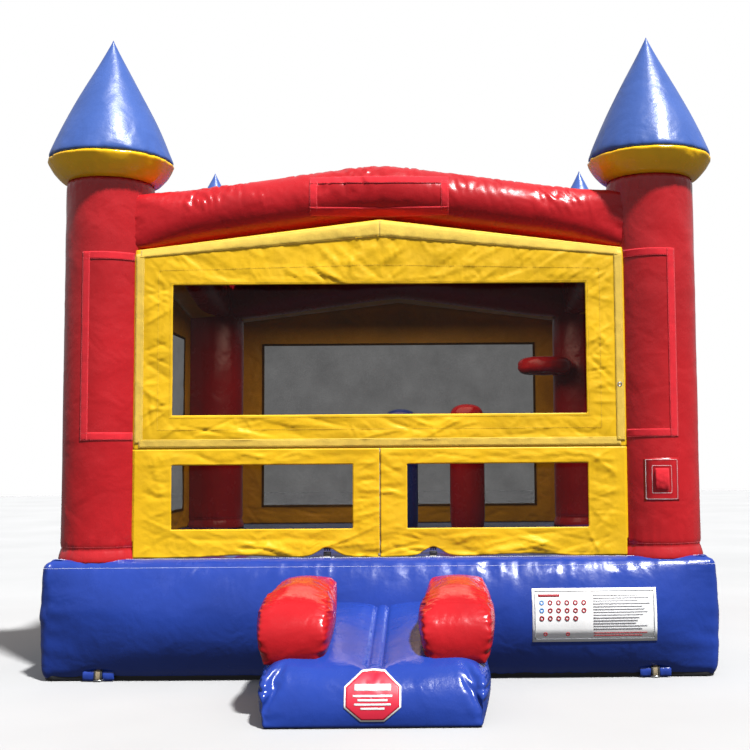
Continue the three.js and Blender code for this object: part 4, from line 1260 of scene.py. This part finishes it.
def make_rules(tree):
    """A white board with a grey frame, and lines and dots in place of words and pictures."""
    low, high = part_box("rules_sign")
    x0, x1, z0, z1 = low.x, high.x, low.z, high.z

    def line(name, start, end, z, wide, material, lift=0.0038, node=None):
        pressed_strip(f"rules_sign_{name}", ((start, z), (end, z)), wide, tree, material,
                      lift=lift, node=node)

    line("board", x0, x1, (z0 + z1) / 2, z1 - z0, sign_white, 0.0022, "rules_sign")
    corners = rectangle((x0, x1, z0, z1), -0.016)
    for k, ends in enumerate(zip(corners, corners[1:])):
        pressed_strip(f"rules_sign_frame_{k}", ends, 0.005, tree, sign_grey, lift=0.0038)
    line("title", x0 + 0.035, x0 + 0.16, z1 - 0.040, 0.014, sign_dark_red)
    for row in range(3):
        for column in range(6 - (row == 2)):
            color = sign_blue if column == 0 and row < 2 else sign_dark_red
            x, z = x0 + 0.055 + column * 0.049, z1 - 0.080 - row * 0.044
            dot(f"mark_{row}_{column}", x, z, 0.0145, color, tree)
    for k, x in enumerate((x0 + 0.075, x0 + 0.205)):
        dot(f"low_mark_{k}", x, z0 + 0.045, 0.012, sign_dark_red, tree)
    chance = np.random.RandomState(5)
    start = x0 + 0.355
    for k in range(13):
        end = start + 0.24 + 0.10 * chance.rand()
        line(f"line_{k}", start, end, z1 - 0.040 - k * 0.0158, 0.0052, sign_line)
    for k in range(2):
        line(f"red_line_{k}", start, x1 - 0.06 - 0.03 * k, z0 + 0.050 - k * 0.016, 0.0055, sign_dark_red)


def dot(name, x, z, radius, material, tree):
    """A ring printed on the rules sign."""
    angle = circle(20)[:, None]
    reach = radius * np.array([0.45, 0.75, 1.0])[None, :]
    start = np.stack([x + reach * np.cos(angle), np.full((20, 3), -2.6), z + reach * np.sin(angle)], -1)
    points, _ = press(start, (0, 1, 0), tree, 0.0038)
    faces = grid_faces(20, 3, close_u=True, flip=True)
    build(f"rules_sign_{name}", points, faces, material, thick=0.0008, offset=1.0)


# ---- Hem, skirt, anchors and rings ----

HEM_Z = 0.066


def make_ground_sheet():
    """The ground sheet lies under the base, and its black edge shows below the hem."""
    share = np.linspace(0.02, 1, 26)[None, :, None]
    path, outward, run, _ = square_path(BASE_HALF - 0.004, 0.06, spacing=0.05)
    flat = np.concatenate([path[:, None, :] * share, np.full((len(path), 26, 1), 0.0022)], 2)
    rise = np.array([(0.006, 0.0035), (0.010, 0.012), (0.008, 0.030), (0.002, 0.050), (-0.012, 0.058)])
    wave = 0.005 * noise(run / 0.13, 0.3, 301)[:, None] * np.sin(np.linspace(0.3, 2.6, 5))[None, :]
    out = rise[None, :, 0] + wave - 0.014 * beside_ring(path)[:, None]
    skirt = path[:, None, :] + outward[:, None, :] * out[:, :, None]
    skirt = np.concatenate([skirt, np.broadcast_to(rise[None, :, 1:], (len(path), 5, 1))], 2)
    points = np.concatenate([flat, skirt], 1)
    sheet = build("ground_sheet_cloth", points, grid_faces(len(path), 31, close_u=True), black_cloth,
                  node="ground_sheet", thick=0.0015)
    x, y = grid(np.linspace(step_low.x + 0.060, step_high.x - 0.060, 12),
                np.linspace(STEP_FRONT + 0.062, -1.9, 12))
    build("step_ground_cloth", np.stack([x, y, np.full_like(x, 0.002)], -1), grid_faces(12, 12), black_cloth,
          thick=0.0015)


def make_hem():
    """A folded hem runs round the foot of the base, with a blue bead along its lower edge."""
    path, outward, run, _ = square_path(BASE_HALF - 0.004, 0.05, spacing=0.022)
    around = circle(8)[None, :]
    wave = 0.0035 * noise(run / 0.35, 0.2, 311)[:, None] + 0.002 * noise(run / 0.07, 0.6, 312)[:, None]
    out = 0.014 + wave + 0.005 * np.cos(around)
    height = HEM_Z + 1.2 * wave + 0.0125 * np.sin(around)
    points = np.concatenate([path[:, None, :] + outward[:, None, :] * out[:, :, None], height[:, :, None]], 2)
    build("hem_webbing_bead", points, grid_faces(len(path), 8, close_u=True, close_v=True), blue_vinyl,
          node="hem_webbing")
    normal = np.concatenate([outward, np.full((len(path), 1), 0.3)], 1)
    stitches("hem_webbing_thread", points[:, 1], normal, navy_thread, closed=True)


def curtain(name, xs, profile, material, turns, slack=0.0, seed=0):
    """A small hanging flap: a Y, Z profile carried along X, which may flare."""
    y, z = np.asarray(profile, float).T[:, None, :]
    share = np.linspace(0, 1, y.size)[None, :]
    middle = (xs[0] + xs[-1]) / 2
    x = middle + (xs[:, None] - middle) * (1 + slack * share)
    ripple = 0.006 * share * noise(xs[:, None] / 0.035, share * 2, seed)
    points = turn_points(np.stack([x, y + ripple, z + 0 * x], -1), turns)
    build(name, points, grid_faces(len(xs), y.size, flip=True), material, thick=0.002)


def make_anchor(end, side):
    """A strap with a D-ring between two blue tabs, at the foot of the base."""
    turns = 0 if end == "front" else 2
    sign = 1 - turns
    x, front = sign * RING_XS[side], -BASE_HALF - 0.022
    drop = [(front + 0.002, 0.066), (front - 0.006, 0.052), (front - 0.010, 0.034), (front - 0.006, 0.018),
            (front - 0.004, 0.006)]
    strap = np.array([(front - 0.0015, 0.070), (front - 0.010, 0.050), (front - 0.0125, 0.030),
                      (front - 0.0115, 0.017), (front - 0.010, 0.0125)])
    tab = f"anchor_tab_{end}_{side}"
    for k, (a, b) in enumerate(((-0.090, -0.026), (0.026, 0.092))):
        curtain(f"{tab}_{k}", x + np.linspace(a, b, 9), drop, blue_vinyl, turns, 0.04, 330 + k)
    curtain(f"{tab}_strap", x + np.linspace(-0.020, 0.020, 5), strap, strap_tan, turns)
    for name, a, b in (("a", -0.024, -0.013), ("b", 0.013, 0.024)):
        curtain(f"{tab}_edge_{name}", x + np.linspace(a, b, 3), strap - (0.002, 0), strap_black, turns)
    node = f"anchor_ring_{end}_{side}"
    low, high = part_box(node)
    bow = high.y - low.y - 2 * RING_WIRE
    bar_y = (high.y - RING_WIRE if end == "front" else low.y + RING_WIRE) - MID_Y
    angle = np.linspace(0, math.pi, 25)
    straight = np.linspace(-bow, bow, 9)[1:-1]
    line = np.vstack([
        np.stack([bow * np.cos(angle), -sign * bow * np.sin(angle), 0 * angle], 1),
        np.stack([straight, 0 * straight, 0 * straight], 1),
    ]) + ((low.x + high.x) / 2, bar_y, (low.z + high.z) / 2)
    wire_loop(node, line, RING_WIRE * 0.98)


def wire_loop(node, line, radius):
    """A closed level loop of round wire, on the body of its CAD node."""
    side = np.cross(unit(np.roll(line, -1, 0) - np.roll(line, 1, 0)), (0, 0, 1.0))
    around = circle(12)[None, :, None]
    off = np.cos(around) * side[:, None, :] + np.sin(around) * np.array([0, 0, 1.0])
    faces = grid_faces(len(line), 12, close_u=True, close_v=True)
    build(f"{node}_wire", line[:, None, :] + radius * off, faces, ring_metal, f"{node}_body",
          node=node)


# ---- Strips on the towers and the front beam ----

def red_tapes(name, runs, tree, node, start_y=-2.6):
    """Red loop tape along the front of a piece. runs are pairs of x, z ends by name."""
    for part, ends in runs.items():
        pressed_strip(f"{name}_{part}", ends, TAPE, tree, red_tape, pink_thread,
                      start_y=start_y, node=node)


def make_tower_frame(side):
    sign = SIGNS[side]
    low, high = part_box(f"tower_loop_frame_{side}")
    inner, reach = sign * 1.500, sign * 1.797
    outer = reach - sign * TAPE / 2
    z0, z1 = low.z + TAPE / 2, high.z - TAPE / 2
    runs = {"upright": ((outer, low.z), (outer, high.z)), "top": ((inner, z1), (reach, z1)),
            "foot": ((inner, z0), (reach, z0))}
    red_tapes(f"tower_tape_{side}", runs, tree_of(f"column_front_{side}_vinyl"), f"tower_loop_frame_{side}")


def make_tether(tree):
    low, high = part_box("tether_patch")
    x0, x1, z0, z1 = low.x, high.x, low.z, high.z
    middle_x, middle_z = (x0 + x1) / 2, (z0 + z1) / 2
    ends = ((middle_x, z0), (middle_x, z1))
    pressed_strip("tether_patch_cloth", ends, x1 - x0, tree, red_vinyl, node="tether_patch")
    for size, name in ((0.010, "outer"), (0.046, "inner")):
        path = np.array([(a, -2.6, b) for a, b in rectangle((x0, x1, z0, z1), -size)])
        path = np.vstack([np.linspace(a, b, 14)[:-1] for a, b in zip(path, path[1:])])
        placed, facing = press(path, (0, 1, 0), tree, 0.0032)
        stitches(f"tether_patch_thread_{name}", placed, facing, white_thread, closed=True)
    # A folded strap stands off the patch, sewn down at its two ends.
    x, z = grid(np.linspace(middle_x - 0.038, middle_x + 0.038, 9),
                np.linspace(middle_z - 0.062, middle_z + 0.062, 25))
    placed, facing = press(np.stack([x, np.full_like(x, -2.6), z], -1), (0, 1, 0), tree, 0.004)
    arch = 0.014 * np.sin(np.linspace(0, math.pi, 25)) ** 0.6 + 0.003 * noise(x / 0.02, z / 0.03, 341)
    points = placed + facing * arch[..., None]
    build("tether_patch_strap", points, grid_faces(9, 25), red_tape, thick=0.004,
          offset=1.0)


def make_beam_frame():
    low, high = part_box("beam_loop_frame")
    out = high.x
    half = out - TAPE / 2
    z0, z1 = low.z + TAPE / 2 + 0.022, high.z - TAPE / 2 + 0.003
    runs = {"left": ((-half, z0), (-half, z1)), "right": ((half, z0), (half, z1)),
            "top": ((-out, z1), (out, z1)), "foot": ((-out, z0), (out, z0))}
    red_tapes("beam_tape", runs, tree_of("beam_front_vinyl"), "beam_loop_frame", start_y=-2.4)


# ---- Roof ----

ROOF_HALF = 1.556
ROOF_HIGH = 3.088


def make_roof():
    line = np.linspace(-ROOF_HALF, ROOF_HALF, 121)
    x, y = grid(line, line)
    near = np.minimum(np.abs(x), np.abs(y))
    valley = np.sqrt(near ** 2 + 0.03 ** 2) - 0.03
    edge = np.minimum(ROOF_HALF - np.abs(x), ROOF_HALF - np.abs(y))
    sag = 0.045 * smooth(0.0, 0.6, edge) * smooth(0.0, 0.5, near)
    gathers = 0.010 * creases(x, y, 351, 0.5) + 0.004 * creases(x, y, 352, 0.16)
    z = ROOF_HIGH - BEAM_SLOPE * valley - sag + gathers * smooth(0, 0.12, edge) - 0.004 * bell(edge, 0.02)
    to_tower = np.abs((line[1:] + line[:-1]) / 2) - TOWER_X
    keep = np.hypot(to_tower[:, None], to_tower[None, :]) > TOWER_R + 0.012
    roof = build("roof_sheet_cloth", np.stack([x, y, z], -1), grid_faces(121, 121, keep=keep), blue_cloth,
                 node="roof_sheet", thick=0.002)


# ---- Play pieces ----

def make_popup(name, material, seed):
    low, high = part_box(f"popup_{name}")
    x, y = (low.x + high.x) / 2, (low.y + high.y) / 2 - MID_Y
    r, top = (high.x - low.x) / 2, high.z
    neck = top - 0.14

    def relief(angle, share, z):
        gathers = noise(angle / (2 * math.pi) * 30, z / 0.3, seed, 30)
        by_seams = np.exp(-np.abs(z - neck) / 0.05) + np.exp(-np.abs(z - FLOOR_Z - 0.02) / 0.05)
        return 0.005 * gathers * by_seams - 0.008 * bell(z - neck, 0.010)

    profile = smooth_profile([
        (r - 0.012, FLOOR_Z - 0.004), (r - 0.010, FLOOR_Z + 0.02), (r - 0.002, FLOOR_Z + 0.12),
        (r - 0.002, (FLOOR_Z + top) / 2), (r - 0.002, top - 0.20), (r - 0.006, neck), (r * 0.93, top - 0.075),
        (r * 0.72, top - 0.028), (r * 0.36, top - 0.006), (0.002, top - 0.001),
    ], 60)
    revolved(f"popup_{name}_vinyl", profile, x, y, material, relief, f"popup_{name}", steps=72)


HOOP_PLACE = (1.315, 1.315, 2.110)
HOOP_R = 0.170
HOOP_TUBE = 0.071


def make_hoop():
    """A ring of tube stands out of the rear right tower on a short thick arm."""
    x, y, z = HOOP_PLACE
    big, small = circle(64)[:, None], circle(28)[None, :]
    swell = HOOP_TUBE - 0.006 * bell(np.cos(small) - 1.0, 0.02)
    swell = swell + 0.003 * noise(big / (2 * math.pi) * 22, small / math.pi * 1.5, 381, 22)
    reach = HOOP_R + swell * np.cos(small)
    points = np.stack([x + reach * np.cos(big), y + reach * np.sin(big), z + swell * np.sin(small)], -1)
    build("basketball_hoop_ring", points, grid_faces(64, 28, close_u=True, close_v=True), red_vinyl,
          node="basketball_hoop")
    start, end = HOOP_R - 0.02, 0.545 - TOWER_R + 0.03
    along = start + (end - start) * np.linspace(0, 1, 26)[None, :]
    around = circle(30)[:, None]
    puckers = noise(around / (2 * math.pi) * 18, along / 0.2, 382, 18) * np.exp(-(end - along) / 0.08)
    radius = 0.080 - 0.006 * np.exp(-(end - along) / 0.03) + 0.003 * puckers
    side, half = radius * np.cos(around), math.sqrt(0.5)
    points = np.stack([x + (along - side) * half, y + (along + side) * half, z + radius * np.sin(around)], -1)
    build("basketball_hoop_arm", points, grid_faces(30, 26, close_u=True), red_vinyl,
          thick=0.003, offset=-1.0)


def make_baffles():
    """Webs under the floor that hold its tubes down."""
    points, faces = [], []
    y, z = grid(np.linspace(-1.74, 1.74, 40), np.linspace(GROUND_Z + 0.003, FLOOR_Z - 0.045, 8))
    for k in range(-3, 4):
        x = k * TUBE_WIDTH + 0.006 * noise(y / 0.4, z / 0.3, 391 + k)
        faces.append(grid_faces(40, 8) + x.size * len(points))
        points.append(np.stack([x, y, z], -1))
    build("floor_baffles_cloth", points, np.vstack(faces), blue_cloth,
          node="floor_baffles", thick=0.002)


def make_tube():
    """The inflation tube is a limp sleeve that lies on the ground behind the base, with a strap round it."""
    low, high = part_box("inflation_tube")
    x, radius = (low.x + high.x) / 2, (high.x - low.x) / 2
    start, end = BASE_HALF - 0.02, high.y - MID_Y
    around = circle(72)[:, None]
    y = np.linspace(start, end - 0.004, 60)[None, :]
    away = (y - start) / (end - start)
    to_strap = y - end + 0.12
    share = around / (2 * math.pi)
    folds = noise(share * 16, y / 0.35, 401, 16) * 0.008 + noise(share * 30, y / 0.16, 402, 30) * 0.0045
    r = radius - 0.006 - 0.008 * np.exp(-(y - start) / 0.03) - 0.016 * bell(to_strap, 0.030)
    r = r + folds * (0.4 + 0.6 * away)
    height = np.maximum(radius + 0.002 + r * np.sin(around) * (1 - 0.05 * away), 0.004)
    wide = r * np.cos(around) * (1 + 0.015 * away)
    points = np.stack([x + wide, y + 0 * around, height - 0.006 * away], -1)
    points[..., 2] = np.maximum(points[..., 2], 0.004)
    build("inflation_tube_sleeve", points, grid_faces(72, 60, close_u=True, flip=True), blue_vinyl,
          node="inflation_tube", thick=0.003, offset=1.0)
    inner = points[:, np.abs(to_strap[0]) < 0.022]
    centre = np.stack([0 * inner[0, :, 1] + x, inner[0, :, 1], 0 * inner[0, :, 1] + radius], -1)
    faces = grid_faces(72, inner.shape[1], close_u=True, flip=True)
    build("inflation_tube_strap", inner + unit(inner - centre) * 0.004, faces, strap_black,
          thick=0.002, offset=1.0)


# ---- Details of the front walls ----

def seam_on(wall, name, corners, material):
    """A line of stitches on a front wall through flat x, z corners."""
    path = [
        np.linspace(a, b, max(3, int(math.dist(a, b) / 0.012)))[:-1] for a, b in zip(corners, corners[1:])
    ]
    path = np.vstack([*path, corners[-1:]])
    points = wall.place(path[:, 0], path[:, 1], 0.0016)
    stitches(name, points, np.tile([0, -1.0, 0], (len(points), 1)), material)


def make_slit_tape():
    x, z = grid(np.linspace(-0.011, 0.011, 4), np.linspace(WALL_BOTTOM + 0.004, DOOR_TOP - 0.014, 60))
    y = -WALL_Y + 0.006 + 0.001 * noise(x / 0.02, z / 0.05, 411)
    build("door_slit_tape", np.stack([x, y, z], -1), grid_faces(4, 60), slit_tape, "door_flap_left_body",
          thick=0.0015)


def make_grommet(wall):
    x, y, z = wall.place(1.462, 1.735, 0.004)
    big, small = circle(24)[:, None], circle(10)[None, :]
    reach = 0.011 + 0.0045 * np.cos(small)
    out = y - 0.0022 * np.sin(small) + 0 * big
    points = np.stack([x + reach * np.cos(big), out, z + reach * np.sin(big)], -1)
    faces = grid_faces(24, 10, close_u=True, close_v=True)
    build("panel_grommet", points, faces, grommet_metal)


# ---- Build everything ----

make_ground_sheet()
make_base()
make_floor()
make_baffles()
make_hem()
for anchor_end in ("front", "rear"):
    for anchor_side in SIGNS:
        make_anchor(anchor_end, anchor_side)
step_surface = make_step()
make_octagon(step_surface)
for bolster_side in SIGNS:
    make_bolster(bolster_side)
make_rules(tree_of("base_wall_vinyl"))
for corner_name, corner_quarter in CORNERS.items():
    make_tower(corner_name, corner_quarter)
for side_name, side_quarter in SIDES.items():
    make_beam(side_name, side_quarter)
make_beam_frame()
for frame_side in SIGNS:
    make_tower_frame(frame_side)
make_tether(tree_of("column_front_right_vinyl"))
walls = {name: make_wall(name, quarter) for name, quarter in SIDES.items()}
make_panel_tape(walls["front"])
for door_side in SIGNS:
    make_door(door_side)
for buckle_side in SIGNS:
    make_buckle(buckle_side)
for hem_name, hem_reach in (("hem", 0.016), ("seam", 0.088)):
    seam_on(walls["front"], f"window_{hem_name}_thread", rectangle(UPPER_WINDOW, hem_reach), gold_thread)
make_slit_tape()
make_grommet(walls["front"])
make_roof()
make_popup("red", red_vinyl, 361)
make_popup("blue", blue_vinyl, 371)
make_hoop()
make_tube()


# ---- Camera, light and floor ----

def add_to_scene(name, data, place=(0, 0, 0)):
    obj = bpy.data.objects.new(name, data)
    obj.location = place
    bpy.context.scene.collection.objects.link(obj)
    return obj


def make_camera():
    """The camera stands in front of the entrance, a little to the right, and looks slightly up."""
    pitch, yaw, roll = 0.0738, -0.0033, -0.0071
    lens = bpy.data.cameras.new("camera")
    lens.sensor_width = 36
    lens.lens = 54.93
    lens.shift_x = -0.0838
    camera = add_to_scene("camera", lens, (0.332, -8.834 + MID_Y, 1.285))
    camera.rotation_euler = (Matrix.Rotation(yaw, 3, "Z") @ Matrix.Rotation(math.pi / 2 + pitch, 3, "X")
                             @ Matrix.Rotation(roll, 3, "Z")).to_euler()
    bpy.context.scene.camera = camera


def make_sky():
    """A plain grey light, dimmer from below, as over the shaded ground round the house."""
    world = bpy.data.worlds.new("studio")
    bpy.context.scene.world = world
    world.use_nodes = True
    tree = world.node_tree
    background = tree.nodes["Background"]
    direction = tree.nodes.new("ShaderNodeTexCoord")
    split = tree.nodes.new("ShaderNodeSeparateXYZ")
    ramp = tree.nodes.new("ShaderNodeValToRGB")
    tree.links.new(direction.outputs["Generated"], split.inputs["Vector"])
    tree.links.new(split.outputs["Z"], ramp.inputs["Fac"])
    tree.links.new(ramp.outputs["Color"], background.inputs["Color"])
    below, above = ramp.color_ramp.elements
    below.position, below.color = 0.0, (0.19, 0.19, 0.19, 1)
    above.position, above.color = 0.30, (0.55, 0.56, 0.58, 1)
    background.inputs["Strength"].default_value = 1.0


def make_lights():
    bpy.context.scene.view_settings.view_transform = "Standard"
    make_sky()
    inside = bpy.data.lights.new("inside", "AREA")
    inside.shape = "SQUARE"
    inside.size = 2.2
    inside.energy = 98
    inside.color = (1.0, 0.66, 0.50)
    add_to_scene("inside", inside, (0, MID_Y, 2.55)).visible_camera = False
    sun = bpy.data.lights.new("key", "SUN")
    sun.energy = 8.0
    sun.angle = math.radians(4)
    add_to_scene("key", sun).rotation_euler = Vector((-0.30, 0.40, -0.87)).to_track_quat("-Z", "Y").to_euler()


def make_stage():
    size = 40
    mesh = bpy.data.meshes.new("floor")
    corners = [(-size, -size, 0), (size, -size, 0), (size, size, 0), (-size, size, 0)]
    mesh.from_pydata(corners, [], [(0, 1, 2, 3)])
    ground = Nodes("pale floor")
    ground.tint(ground.noise(0.6, 3.0, 0.5), 0.3, (0.33, 0.33, 0.33), 0.7, (0.36, 0.36, 0.36))
    ground.set(Roughness=0.8)
    mesh.materials.append(ground.material)
    floor = add_to_scene("floor", mesh)
    floor.visible_diffuse = False
    floor.visible_glossy = False


def make_backdrop():
    """A white dome behind everything, which gives no light of its own."""
    angle = circle(48)[:, None]
    rise = np.linspace(-0.02, math.pi / 2, 14)[None, :]
    level = np.cos(rise)
    points = np.stack([np.cos(angle) * level, np.sin(angle) * level, np.sin(rise) + 0 * angle], -1) * 39
    mesh = bpy.data.meshes.new("backdrop")
    mesh.from_pydata(points.reshape(-1, 3).tolist(), [], grid_faces(48, 14, close_u=True).tolist())
    white = Nodes("backdrop white")
    white.set(Base_Color=(0, 0, 0, 1), Emission_Color=(1, 1, 1, 1), Emission_Strength=1.0,
              Specular_IOR_Level=0.0)
    mesh.materials.append(white.material)
    dome = add_to_scene("backdrop", mesh)
    dome.visible_diffuse = False
    dome.visible_glossy = False
    dome.visible_shadow = False
    dome.visible_transmission = False


make_camera()
make_lights()
make_stage()
make_backdrop()
